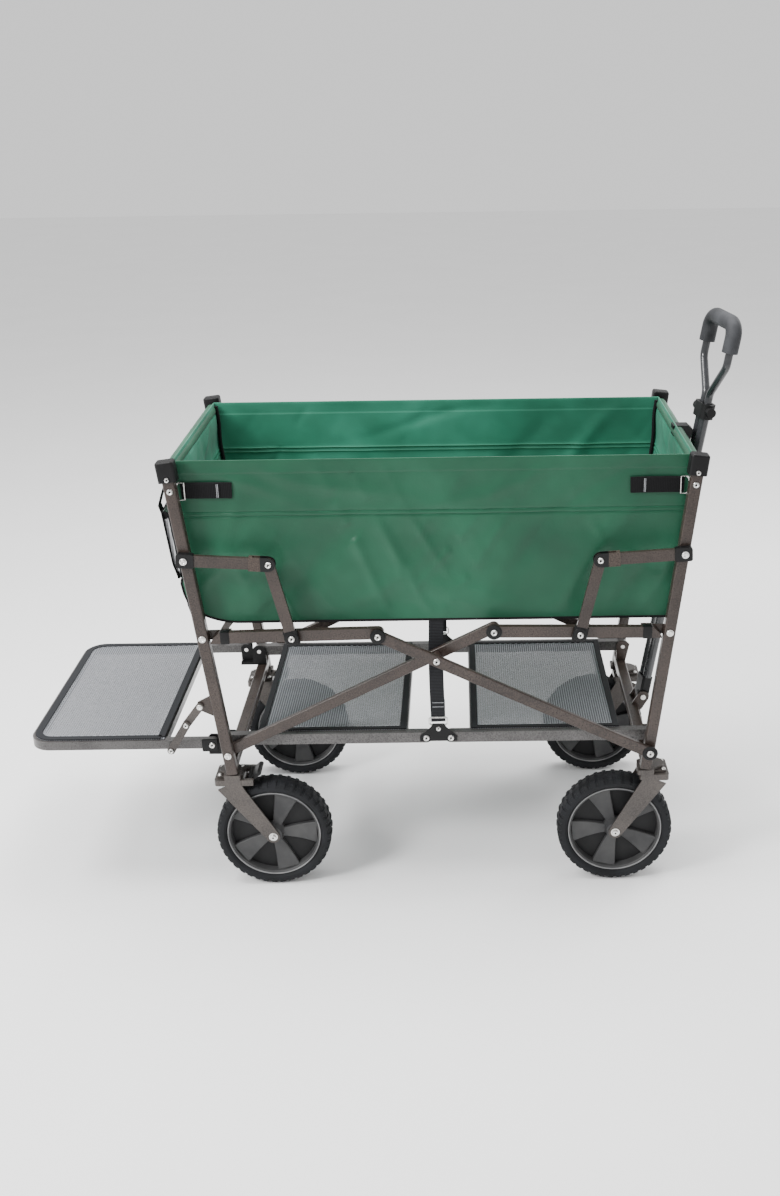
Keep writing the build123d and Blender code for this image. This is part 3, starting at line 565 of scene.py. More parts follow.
for side, end in ((-1, "rear"), (1, "front")):
    root = f"{end}_frame"
    hidden = [f"{end}_frame_rivets"]
    items = [(*side_pt(side, P2), 0.2379, 0.0062), (*side_pt(side, P4), 0.2503, 0.0062), (*side_pt(side, CR), 0.2413, 0.0042), (*side_pt(side, BR), 0.2379, 0.0055)]
    if side < 0:
        items.append((*side_pt(side, P1), 0.2379, 0.0062))
        items.append((*side_pt(side, (0.4152, 0.3618)), 0.2287, 0.0052))
    else:
        items.append((*side_pt(side, P1), 0.2513, 0.0062))
    rivet_set(f"{end}_post_rivets", root, items)
    rivet_set(f"elbow_rivets_{end}", f"struts_{end}", [(*side_pt(side, E), 0.2502, 0.0056)])
    m = Mesh()
    for ys in (-1, 1):
        cap_disc(m, *side_pt(side, F), 0.2478, ys, 0.0125, 0.0022)
        # boot round the foot of the link
        fr = side_frame(side_pt(side, F), side_pt(side, E))
        y0, y1 = sorted((ys * 0.2396, ys * 0.2486))
        m.box((-0.0135, y0, -0.0125), (0.014, y1, 0.0125), 0.004, fr)
    m.make(f"elbow_foot_caps_{end}", "black", f"elbows_{end}", slot="black_plastic")
    rivet_set(f"elbow_foot_rivets_{end}", f"elbows_{end}", [(*side_pt(side, F), 0.2500, 0.0058)])

# scissor top and foot caps
for side, end, y in ((-1, "rear", None), (1, "front", 0.249)):
    m = Mesh()
    if side > 0:
        for ys in (-1, 1):
            cap_disc(m, *side_pt(1, P1), 0.249, ys, 0.0135, 0.0022)
            cap_disc(m, *side_pt(-1, Q), 0.249, ys, 0.0135, 0.0026)
        m.make("scissor_caps_front", "black", "scissor_front", slot="black_plastic")
        rivet_set("scissor_top_rivets_front", "scissor_front", [(*side_pt(-1, Q), 0.2516, 0.0058), (X0, 0.4510, 0.2490, 0.0060)])
# the inner scissor's top is capped on the outside of the front rail
m = Mesh()
for ys in (-1, 1):
    cap_disc(m, *side_pt(1, Q), 0.236, ys, 0.0135, 0.0026)
m.make("rail_caps_front", "black", "rails_front", slot="black_plastic")
rivet_set("rail_cap_rivets_front", "rails_front", [(*side_pt(1, Q), 0.2386, 0.0058)])

# plastic boots at the post ends of the side rails
for side, end in ((-1, "rear"), (1, "front")):
    m = Mesh()
    fr = side_frame(side_pt(side, P2), side_pt(side, Q))
    for ys in (-1, 1):
        y0, y1 = sorted((ys * 0.2232, ys * 0.2372))
        m.box((0.030, y0, -0.0112), (0.046, y1, 0.0112), 0.0025, fr)
    m.make(f"rail_boots_{end}", "black", f"rails_{end}", slot="black_plastic")

# centre bracket rivets and ring
rivet_set("centre_bracket_rivets", "centre_link", [(X0 - 0.0219, 0.285, 0.2084, 0.0058), (X0 + 0.0219, 0.285, 0.2084, 0.0058), (X0, 0.3035, 0.2084, 0.0046)])
m = Mesh()
for ys in (-1, 1):
    c = Vector((X0, ys * 0.2062, 0.3175))
    path = [c + Vector((sx * 0.0155, 0, sz * 0.0055)) for sx, sz in ((-1, -1), (-0.8, -1.3), (0.8, -1.3), (1, -1), (1, 1), (0.8, 1.3), (-0.8, 1.3), (-1, 1))]
    m.tube(path, 0.0016, 8, closed=True)
m.make("strap_rings", "steel", "centre_link", slot="rivet_steel")

# lift straps: doubled webbing through the ring, sewn, up to the basket floor
m, t = Mesh(), Mesh()
for ys in (-1, 1):
    y = ys * 0.2047
    zs = [0.316 + (0.5165 - 0.316) * i / 24 for i in range(25)]
    path = [(X0 - 0.002 * sin(pi * i / 24), y + ys * -0.0006 * sin(5 * i / 24), z) for i, z in enumerate(zs)]
    m.strip(path, 0.0255, 0.0017, (0, 1, 0))
    loop = [(X0, y + ys * -0.0016, z) for z in (0.3165, 0.33, 0.345, 0.358)]
    m.strip(loop, 0.0245, 0.0012, (0, 1, 0))
    for k in range(2):
        t.tube([(X0 - 0.010, y + ys * 0.0011, 0.345 + 0.008 * k), (X0 + 0.010, y + ys * 0.0011, 0.345 + 0.008 * k)], 0.0004, 6)
o = m.make("lift_strap_webbing", "webbing", "centre_link", slot="webbing")
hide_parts("lift_straps")
t.make("lift_strap_stitches", "thread", "centre_link", slot="webbing")

# ------------------------------------------------------------------ mesh panels
def slab(m, rows, off):
    """A thin closed sheet: the given surface, its copy moved by off, and the edge between them."""
    off = Vector(off)
    nu, nv = len(rows), len(rows[0])
    top = [Vector(p) for r in rows for p in r]
    n = len(top)
    faces = []
    for i in range(nu - 1):
        for j in range(nv - 1):
            a, b, c, d = i * nv + j, i * nv + j + 1, (i + 1) * nv + j + 1, (i + 1) * nv + j
            faces.append((a, b, c, d))
            faces.append((d + n, c + n, b + n, a + n))
    loop = [j for j in range(nv - 1)] + [i * nv + nv - 1 for i in range(nu - 1)] + [(nu - 1) * nv + nv - 1 - j for j in range(nv - 1)] + [(nu - 1 - i) * nv for i in range(nu - 1)]
    for a, b in zip(loop, loop[1:] + loop[:1]):
        faces.append((b, a, a + n, b + n))
    m.add(top + [p + off for p in top], faces)


def mesh_panel(name, node, body, x0, x1, y, z, seam=0.012):
    """A stretched mesh panel sagging a little, bound in black tape, laced with pale thread."""
    nx, ny = 28, 36
    top, rows = [], []
    sag = lambda u, v: -0.0035 * (sin(pi * u) * sin(pi * v)) ** 0.7
    m = Mesh()
    rows = [[(x0 + (x1 - x0) * i / nx, -y + 2 * y * j / ny, z + sag(i / nx, j / ny)) for j in range(ny + 1)] for i in range(nx + 1)]
    slab(m, rows, (0, 0, -0.0008))
    o = m.make(name, "mesh", body, slot="mesh_fabric")
    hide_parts(node)
    b = Mesh()
    w = 0.011
    zz = z + 0.0006
    for yy in (-y + w / 2, y - w / 2):
        b.strip([(x0 + (x1 - x0) * i / 12, yy, zz) for i in range(13)], w, 0.0022, (0, 0, 1))
    for xx in (x0 + w / 2, x1 - w / 2):
        b.strip([(xx, -y + 2 * y * i / 12, zz + 0.0002) for i in range(13)], w, 0.0022, (0, 0, 1))
    bo = b.make(name + "_binding", "binding", body, slot="mesh_fabric")
    l = Mesh()
    for yy in (-y + w + 0.002, y - w - 0.002):
        n = int((x1 - x0 - 2 * w) / 0.0055)
        pts = [(x0 + w + 0.0055 * (i + 0.5), yy + (0.0018 if i % 2 else -0.0018), zz - 0.0002) for i in range(n)]
        l.tube(pts, 0.00045, 5)
    l = l.make(name + "_lacing", "thread", body, slot="mesh_fabric")
    return o


for side, end in ((-1, "rear"), (1, "front")):
    a, b = sorted((X0 + side * 0.058, X0 + side * 0.322))
    mesh_panel(f"deck_panel_{end}", f"deck_mesh_{end}", f"deck_{end}", a, b, 0.1935, 0.2960)

# tailgate panel with rounded outer corners
def rounded_panel():
    x0, x1, y, z, r = X0 - 0.7275 + 0.004, X0 - 0.486, 0.2145, 0.2936, 0.036
    nx, ny = 40, 44
    m = Mesh()
    rows = []
    for i in range(nx + 1):
        x = x0 + (x1 - x0) * i / nx
        d = x - x0
        yy = y if d >= r else y - r + math.sqrt(max(r * r - (r - d) ** 2, 0))
        rows.append([(x, -yy + 2 * yy * j / ny, z - 0.004 * (sin(pi * i / nx) * sin(pi * j / ny)) ** 0.7) for j in range(ny + 1)])
    slab(m, rows, (0, 0, -0.0008))
    o = m.make("tailgate_panel", "mesh", "tailgate", slot="mesh_fabric")
    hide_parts("tailgate_mesh")
    b = Mesh()
    w = 0.013
    def loop(inset):
        pts = []
        rr = r - inset * 0.9
        for k in range(9):
            a = pi / 2 * k / 8
            pts.append((x0 + inset + rr - rr * sin(a), -(y - inset) + rr - rr * cos(a)))
        pts = [(x1 - inset, -(y - inset))] + pts + [(px, -py) for px, py in reversed(pts)] + [(x1 - inset, y - inset)]
        return pts
    path = loop(w / 2)
    dense = []
    for (ax, ay), (bx, by) in zip(path, path[1:] + path[:1]):
        n = max(1, int(math.hypot(bx - ax, by - ay) / 0.02))
        dense += [(ax + (bx - ax) * k / n, ay + (by - ay) * k / n, z + 0.0008) for k in range(n)]
    b.strip(dense + [dense[0]], w, 0.0022, (0, 0, 1))
    bo = b.make("tailgate_panel_binding", "binding", "tailgate", slot="mesh_fabric")
    l = Mesh()
    path = loop(w + 0.002)
    pts = []
    for (ax, ay), (bx, by) in zip(path, path[1:] + path[:1]):
        n = max(1, int(math.hypot(bx - ax, by - ay) / 0.0055))
        ux, uy = (bx - ax), (by - ay)
        d = math.hypot(ux, uy) or 1
        pts += [(ax + ux * k / n - uy / d * 0.0017 * (1 if (k + len(pts)) % 2 else -1), ay + uy * k / n + ux / d * 0.0017 * (1 if (k + len(pts)) % 2 else -1), z + 0.0003) for k in range(n)]
    l.tube(pts, 0.00045, 5)
    l = l.make("tailgate_panel_lacing", "thread", "tailgate", slot="mesh_fabric")


rounded_panel()

# ------------------------------------------------------------------ basket
HY = 0.2068
ZB, ZT = 0.5125, 0.7985
SEAM = 0.0930


def hx(z):
    return post_x(z) + 0.0025


def folds(u, v, seed):
    """Soft diagonal creases: a few long shallow ridges at slants plus a low swell, in metres."""
    h = 0.0
    for k, (cx, cz, ang, ln, wd, amp) in enumerate(CREASES[seed % len(CREASES)]):
        dx, dz = u - cx, v - cz
        a = radians(ang)
        s, t = dx * cos(a) + dz * sin(a), -dx * sin(a) + dz * cos(a)
        t += 0.012 * sin(s * 14 + k)
        h += amp * math.exp(-(t / wd) ** 2) * math.exp(-(s / ln) ** 2)
    h *= 2.2
    # soft upright pulls that lean one way or the other, deeper below the seam
    low = max(0.0, min(1.0, (0.185 - v) / 0.03))
    lean = noise.noise(Vector((u * 3.1, seed * 5.3, 2.0)))
    a = noise.noise(Vector((u * 13 + v * 7 * (1 if lean > 0 else 1), v * 2.6, seed * 3.1)))
    b = noise.noise(Vector((u * 12 - v * 8, v * 2.9, seed * 3.1 + 9)))
    w = 0.5 + 0.5 * math.tanh(lean * 6)
    r = w * (1 - abs(a) * 2) ** 3 + (1 - w) * (1 - abs(b) * 2) ** 3 if abs(a) < 0.5 and abs(b) < 0.5 else 0.0
    mask = 0.5 + 0.5 * math.tanh(5 * noise.noise(Vector((u * 4.5, v * 5, seed + 0.7))) + 0.4)
    h += (0.0062 * low + 0.0018) * mask * (r - 0.45)
    h += 0.0036 * low * noise.noise(Vector((u * 5.5, v * 5.0, seed * 3.1))) + 0.0010 * noise.noise(Vector((u * 7, v * 9, seed * 3.1)))
    h += 0.0006 * noise.noise(Vector((u * 26 + v * 12, v * 24, seed * 1.7)))
    return h


CREASES = [
    # u = along the wall from its middle, v = height above the floor of the basket
    [(-0.28, 0.08, 62, 0.10, 0.014, 0.0016), (-0.20, 0.12, 55, 0.12, 0.018, -0.0018), (-0.05, 0.10, 35, 0.14, 0.016, 0.0016), (0.04, 0.05, -28, 0.12, 0.018, 0.0014),
     (0.18, 0.14, 48, 0.11, 0.014, -0.0016), (0.27, 0.10, 58, 0.12, 0.016, 0.0019), (0.33, 0.05, 66, 0.09, 0.012, -0.0015), (-0.36, 0.14, 75, 0.10, 0.012, 0.0014),
     (0.10, 0.24, 18, 0.12, 0.012, 0.0010), (-0.15, 0.24, -16, 0.13, 0.012, 0.0010), (0.30, 0.245, 22, 0.10, 0.010, -0.0009), (-0.31, 0.235, -20, 0.09, 0.010, 0.0009)],
    [(-0.10, 0.12, 58, 0.12, 0.014, 0.0020), (0.02, 0.10, 50, 0.13, 0.014, -0.0018), (0.12, 0.14, -55, 0.12, 0.014, 0.0018), (-0.16, 0.22, -30, 0.08, 0.010, 0.0012), (0.08, 0.23, 30, 0.09, 0.010, -0.0011)],
    [(-0.25, 0.13, -40, 0.12, 0.016, 0.0018), (-0.08, 0.16, -25, 0.12, 0.016, -0.0016), (0.10, 0.14, 38, 0.13, 0.016, 0.0016), (0.26, 0.17, 44, 0.12, 0.014, -0.0018), (0.0, 0.25, 10, 0.14, 0.010, 0.0010)],
]


def perimeter(z):
    """Points round the basket at height z, as (x, y, outward x, outward y, wall, u)."""
    H, rc, out = hx(z), 0.010, []
    nl, ns = 150, 72
    for wall, (n, seed) in enumerate(((nl, 0), (ns, 1), (nl, 2), (ns, 1))):
        for i in range(n):
            t = -1 + 2 * i / n
            if wall == 0:
                out.append((t * (H - rc), -HY, 0, -1, wall, t * (H - rc)))
            elif wall == 1:
                out.append((H, t * (HY - rc), 1, 0, wall, t * (HY - rc)))
            elif wall == 2:
                out.append((-t * (H - rc), HY, 0, 1, wall, -t * (H - rc)))
            else:
                out.append((-H, -t * (HY - rc), -1, 0, wall, -t * (HY - rc)))
        # corner
        cx, cy, a0 = ((H - rc), -(HY - rc), -90), ((H - rc), (HY - rc), 0), (-(H - rc), (HY - rc), 90)
        ccx, ccy, start = (cx, cy, a0, (-(H - rc), -(HY - rc), 180))[wall]
        for k in range(1, 6):
            a = radians(start + 90 * k / 6)
            out.append((ccx + rc * cos(a), ccy + rc * sin(a), cos(a), sin(a), 4, 0))
    return out


def smooth(x):
    x = max(0.0, min(1.0, x))
    return x * x * (3 - 2 * x)


def belly(z):
    return 0.0245 * smooth((0.618 - z) / 0.045) * (1 - 0.14 * smooth((0.545 - z) / 0.03))


def edge_fade(x):
    return max(0.0, min(1.0, x))


def basket_point(p, z, inner):
    x, y, nx, ny, wall, u = p
    v = z - ZB
    d = 0.0
    if wall == 0:
        d = folds(u, v, 0) * edge_fade((hx(z) - abs(u)) / 0.05)
    elif wall == 2:
        d = folds(u, v, 2) * edge_fade((hx(z) - abs(u)) / 0.05)
    elif wall in (1, 3):
        d = folds(u, v, 1) * edge_fade((HY - abs(u)) / 0.04)
    d *= edge_fade((z - ZB) / 0.03) * edge_fade((ZT - z) / 0.02)
    # the two rows of the seam pull the cloth in, with a slight puff between
    s = z - (ZT - SEAM)
    d += -0.0011 * math.exp(-((s - 0.0038) / 0.0014) ** 2) - 0.0011 * math.exp(-((s + 0.0038) / 0.0014) ** 2) + 0.0006 * math.exp(-(s / 0.0022) ** 2)
    # turned hem at the top
    if z > ZT - 0.022:
        d += 0.0006
    if not inner:
        d += 0.0
    t = 0.0 if not inner else -0.0026
    d = max(min(d, 0.0026), -0.0075)
    if wall in (1, 3, 4):
        # the end panels pass inside their cross tubes at the top
        top = smooth((z - 0.715) / 0.06)
        x -= (1 if x > 0 else -1) * 0.0080 * top * (1 if wall != 4 else abs(nx))
    if x < 0:
        # the rear end bellies out past the posts above the floor
        out = belly(z)
        reach = 1.0 if wall in (3, 4) else smooth((-x - 0.330) / 0.085)
        x -= out * reach
    return (X0 + x + nx * (d + t), y + ny * (d + t), z)


def corner_lift(x, y):
    """The lower rear corner is cut round."""
    r = -(x + 0.335)
    return 0.030 * (max(r, 0) / 0.068) ** 2.2 if r > 0 else 0.0


zs = [ZB + 0.0 * k for k in range(1)]
levels = []
nz = 62
for k in range(nz + 1):
    levels.append(ZB + (ZT - ZB) * k / nz)
extra = [ZT - SEAM + e for e in (-0.0062, -0.0048, -0.0040, -0.0032, -0.0018, 0.0018, 0.0032, 0.0040, 0.0048, 0.0062)] + [ZT - 0.0225, ZT - 0.0215]
levels = sorted(set(round(z, 5) for z in levels + extra))
outer, inner = [], []
for z in levels:
    ring = perimeter(z)
    rowo, rowi = [], []
    for p in ring:
        lift = corner_lift(p[0], p[1]) * edge_fade(1 - (z - ZB) / 0.09)
        zz = z + lift
        q = list(p)
        rowo.append(basket_point(p, z, False)[:2] + (zz,))
        rowi.append(basket_point(p, z, True)[:2] + (zz,))
    outer.append(rowo)
    inner.append(rowi)
m = Mesh()
# outer skin up, rolled over the hem, inner skin down, closed under
n = len(outer[0])
hem = []
for k in range(1, 6):
    a = pi * k / 6
    hem.append([tuple((Vector(o_) + Vector(i_)) / 2 + (Vector(o_) - Vector(i_)) / 2 * cos(a) + Vector((0, 0, 0.0013 * sin(a)))) for o_, i_ in zip(outer[-1], inner[-1])])
rows = outer + hem + list(reversed(inner))
m.grid(rows, closed_u=True, closed_v=True)
basket = m.make("basket_fabric", "green", "rear_frame", slot="basket_fabric", angle=60)
# the inner skin takes the lighter copy of the cloth: painted light for the inside of the basket
basket.data.materials.append(MAT["green_painted_light"])
per_row = len(rows[0])
for p in basket.data.polygons:
    if len(outer) + 2 <= p.index // per_row:
        p.material_index = 1
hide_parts("basket_wall_near", "basket_wall_far", "basket_wall_rear", "basket_wall_front")
SQUASHED = [basket]

# stitch threads on both rows of the seam, outside and inside
for label, off in (("out", 0.0006), ("in", -0.0031)):
    t = Mesh()
    for zz in (ZT - SEAM + 0.0038, ZT - SEAM - 0.0038):
        ring = perimeter(zz)
        pts = []
        for p in ring:
            x, y, z = basket_point(p, zz, False)
            pts.append((x + p[2] * off, y + p[3] * off, z))
        t.tube(pts, 0.00055, 5, closed=True)
    o = t.make(f"basket_stitching_{label}", "greenthread", "rear_frame", slot="basket_fabric")
    SQUASHED.append(o)

# black piping at the four upright corners
t = Mesh()
for sx in (-1, 1):
    for ys in (-1, 1):
        path = []
        for k in range(22):
            z = ZB + 0.004 + (ZT - ZB - 0.006) * k / 21
            lift = corner_lift(sx * hx(z), 0) * edge_fade(1 - (z - ZB) / 0.09)
            q = basket_point((sx * (hx(z) - 0.0029), ys * (HY - 0.0029), sx * 0.7071, ys * 0.7071, 4, 0), z, False)
            path.append((q[0], q[1], z + lift))
        t.tube(path, 0.0026, 8)
        path = []
        for k in range(16):
            z = ZB + 0.012 + (ZT - 0.004 - ZB - 0.012) * k / 15
            q = basket_point((sx * (hx(z) - 0.0048), ys * (HY - 0.0048), sx * 0.7071, ys * 0.7071, 4, 0), z, True)
            path.append((q[0] - sx * 0.0016, q[1] - ys * 0.0016, z))
        t.tube(path, 0.0034, 8)
o = t.make("basket_corner_piping", "blackweb", "rear_frame", slot="webbing")
SQUASHED.append(o)
# black bound lower edge
t = Mesh()
ring = perimeter(ZB)
pts = []
for p in ring:
    x, y, z = basket_point(p, ZB, False)
    pts.append((x - p[2] * 0.0013, y - p[3] * 0.0013, z + corner_lift(p[0], p[1])))
t.tube(pts, 0.0027, 8, closed=True)
o = t.make("basket_lower_binding", "blackweb", "rear_frame", slot="webbing")
SQUASHED.append(o)

# the cloth bottom, under the boards, a little slack in the middle and turned up at the rear
m, hb = Mesh(), hx(ZB) - 0.0020
rows = []
for i in range(81):
    sx = -hb + 2 * hb * i / 80
    row = []
    for j in range(33):
        y = -0.2043 + 0.4086 * j / 32
        edge = 1 - abs(y / 0.2043) ** 6
        z = 0.5140 + corner_lift(sx, y) - 0.0075 * math.exp(-((sx - 0.01) / 0.11) ** 2) * edge
        z += 0.0012 * noise.noise(Vector((sx * 12, y * 14, 3.0))) * edge
        row.append((X0 + sx - belly(ZB) * smooth((-sx - 0.330) / 0.085), y, z))
    rows.append(row)
slab(m, rows, (0, 0, -0.0010))
# the bottom takes the lighter copy of the cloth, painted light for the inside
bottom = m.make("basket_bottom", "green_painted_light", "rear_frame", slot="basket_fabric", angle=60)
SQUASHED.append(bottom)

# hem sleeves round the upper cross tubes
for side, end in ((-1, "rear"), (1, "front")):
    m = Mesh()
    xc, zc = X0 + side * post_x(0.786), 0.786
    rows = []
    for j in range(49):
        y = -0.2045 + 0.409 * j / 48
        row = []
        for k in range(20):
            a = 2 * pi * k / 20
            r = 0.0098 + 0.0006 * noise.noise(Vector((j * 0.6, k * 0.8, side * 2.0)))
            row.append((xc + r * cos(a), y, zc + (r + 0.0006) * sin(a)))
        rows.append(row)
    m.grid(rows, closed_v=True)
    m.make(f"basket_sleeve_{end}", "green", f"{end}_frame", slot="basket_fabric", angle=80)

# corner tabs of webbing with D-rings
for side, end in ((-1, "rear"), (1, "front")):
    w, r_, th = Mesh(), Mesh(), Mesh()
    for ys in (-1, 1):
        zc = 0.749
        a, b = (0.333, post_x(zc) - 0.012) if side < 0 else (0.326, post_x(zc) - 0.014)
        y = ys * (HY + 0.0028)
        n = 14
        path = [(X0 + side * (a + (b - a) * k / n), y + ys * 0.0008 * sin(pi * k / n), zc - side * 0.0 + 0.001 * sin(3 * k / n)) for k in range(n + 1)]
        w.strip(path, 0.0275, 0.0022, (0, 1, 0))
        path = [(X0 + side * (a + 0.020 + (b - 0.004 - a - 0.020) * k / n), y + ys * 0.0020, zc) for k in range(n + 1)]
        w.strip(path, 0.0255, 0.0016, (0, 1, 0))
        px = post_x(zc)
        cxs = [(b - 0.003, HY + 0.0035), (px - 0.0125, 0.2150), (px - 0.0130, 0.2210), (px - 0.0125, 0.2380), (px - 0.009, 0.2398), (px + 0.009, 0.2398), (px + 0.0125, 0.2380), (px + 0.0130, 0.2210)]
        # D-ring
        c = Vector((X0 + side * (b + 0.0005), y + ys * 0.0024, zc))
        pts = [c + Vector((side * dx, 0, dz)) for dx, dz in ((-0.006, -0.0145), (-0.006, 0.0145), (0.002, 0.0150), (0.0065, 0.0110), (0.0078, 0.0), (0.0065, -0.0110), (0.002, -0.0150))]
        r_.tube(pts, 0.0013, 8, closed=True)
        for k in range(2):
            xx = X0 + side * (a + 0.0225 + 0.0022 * k)
            th.tube([(xx, y + ys * 0.0031, zc - 0.0115), (xx, y + ys * 0.0031, zc + 0.0115)], 0.00035, 5)
    o1 = w.make(f"corner_tabs_{end}", "blackweb", f"{end}_frame", slot="webbing")
    o2 = r_.make(f"corner_rings_{end}", "steel", f"{end}_frame", slot="rivet_steel")
    o3 = th.make(f"corner_tab_stitches_{end}", "thread", f"{end}_frame", slot="webbing")

# ------------------------------------------------------------------ floor pads (fabric sleeve on each board)
for side, end in ((-1, "rear"), (1, "front")):
    a, b = 0.391, 0.0035
    m = Mesh()
    nx, ny = 44, 44
    top, bot = [], []
    for i in range(nx + 1):
        u = i / nx
        x = X0 + side * (a + (b - a) * u)
        rt, rb = [], []
        for j in range(ny + 1):
            v = j / ny
            y = -0.1985 + 0.397 * v
            e = min(u, 1 - u, v, 1 - v) * 12
            puff = 0.0026 * (1 - math.exp(-e)) + 0.0009 * noise.noise(Vector((x * 16, y * 16, 5.0)))
            rt.append((x, y, 0.5216 + puff))
            rb.append((x, y, 0.5184))
        top.append(rt)
        bot.append(rb)
    m.grid(top)
    m.grid(bot)
    side_rows = []
    loop = [(i, 0) for i in range(nx)] + [(nx, j) for j in range(ny)] + [(nx - i, ny) for i in range(nx)] + [(0, ny - j) for j in range(ny)]
    m.grid([[top[i][j] for i, j in loop], [bot[i][j] for i, j in loop]], closed_v=True)
    # the pads take the lighter copy of the cloth, painted light for the inside
    o = m.make(f"floor_pad_{end}", "green_painted_light", f"floor_{end}", slot="floor_board", angle=70)
    bm = bmesh.new(); bm.from_mesh(o.data); bmesh.ops.remove_doubles(bm, verts=bm.verts, dist=1e-6); bmesh.ops.recalc_face_normals(bm, faces=bm.faces); bm.to_mesh(o.data); bm.free()
    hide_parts(f"floor_board_{end}")
    # sewn channel round the edge
    t = Mesh()
    xs = (X0 + side * (a - 0.012), X0 + side * (b + 0.012))
    pts = []
    for (ax, ay), (bx, by) in (((xs[0], -0.186), (xs[1], -0.186)), ((xs[1], -0.186), (xs[1], 0.186)), ((xs[1], 0.186), (xs[0], 0.186)), ((xs[0], 0.186), (xs[0], -0.186))):
        pts += [(ax + (bx - ax) * k / 20, ay + (by - ay) * k / 20, 0.5243) for k in range(20)]
    t.tube(pts, 0.0006, 5, closed=True)
    t.make(f"floor_pad_stitching_{end}", "greenthread", f"floor_{end}", slot="floor_board")

# ------------------------------------------------------------------ rear pocket
m, tr = Mesh(), Mesh()
PY, PZ0, PZ1 = 0.187, 0.588, 0.7055


def wall_out(z):
    """How far out the rear wall of the basket hangs."""
    return post_x(z) + 0.0025 + belly(z)


rows = []
NJ = 56
for i in range(27):
    z = PZ0 + (PZ1 - PZ0) * i / 26
    row = []
    for j in range(NJ + 1):
        # side gussets at both ends, a slightly bowed face between them
        t = -1.16 + 2.32 * j / NJ
        v = max(-1.0, min(1.0, t))
        g = 1 - max(0.0, (abs(t) - 1.0)) / 0.16
        f = smooth(min(1.0, (z - PZ0) / 0.030))
        full = 0.0075 + 0.0060 * f + 0.0075 * (1 - v * v) + 0.0010 * noise.noise(Vector((z * 30, v * 5, 9.0)))
        inn = wall_out(z) + 0.0010
        out = max(post_x(z) + 0.0325 + 0.006 * (1 - v * v), inn + full * 0.9) - 0.004 * (1 - f)
        x = inn + (max(out, inn + 0.004) - inn) * g
        row.append((X0 - x, v * PY, z))
    rows.append(row)
slab(m, rows, (0.0008, 0, 0))
pocket = m.make("pocket_mesh", "pocketmesh", "rear_frame", slot="mesh_fabric", angle=80)
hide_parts("rear_pocket")
for i, dz in ((0, 0.005), (26, -0.005)):
    tr.strip([(p[0] - 0.0008, p[1] * 1.004, p[2] + dz) for p in rows[i]], 0.013, 0.0020, [(-1, 0, 0)] * len(rows[i]))
for jj in (4, NJ - 4):
    tr.strip([(r[jj][0] - 0.0010, r[jj][1], r[jj][2]) for r in rows], 0.012, 0.0020, (-1, 0, 0))
for jj in (19, NJ - 19):
    tr.strip([(r[jj][0] - 0.0012, r[jj][1], r[jj][2]) for r in rows], 0.018, 0.0018, (-1, 0, 0))
trim = tr.make("pocket_trim", "blackweb", "rear_frame", slot="webbing")
# straps from the top hem over the pocket, with slack
tr = Mesh()
for yy in (-0.168, -0.060, 0.060, 0.168):
    path = [(X0 - post_x(z) - 0.0135 - dx, yy, z) for z, dx in ((0.781, 0.0), (0.765, 0.004), (0.748, 0.010), (0.730, 0.019), (0.714, 0.026), (0.703, 0.024), (0.694, 0.0215))]
    tr.strip(path, 0.022, 0.0018, (-1, 0, 0))
straps = tr.make("pocket_straps", "blackweb", "rear_frame", slot="webbing")

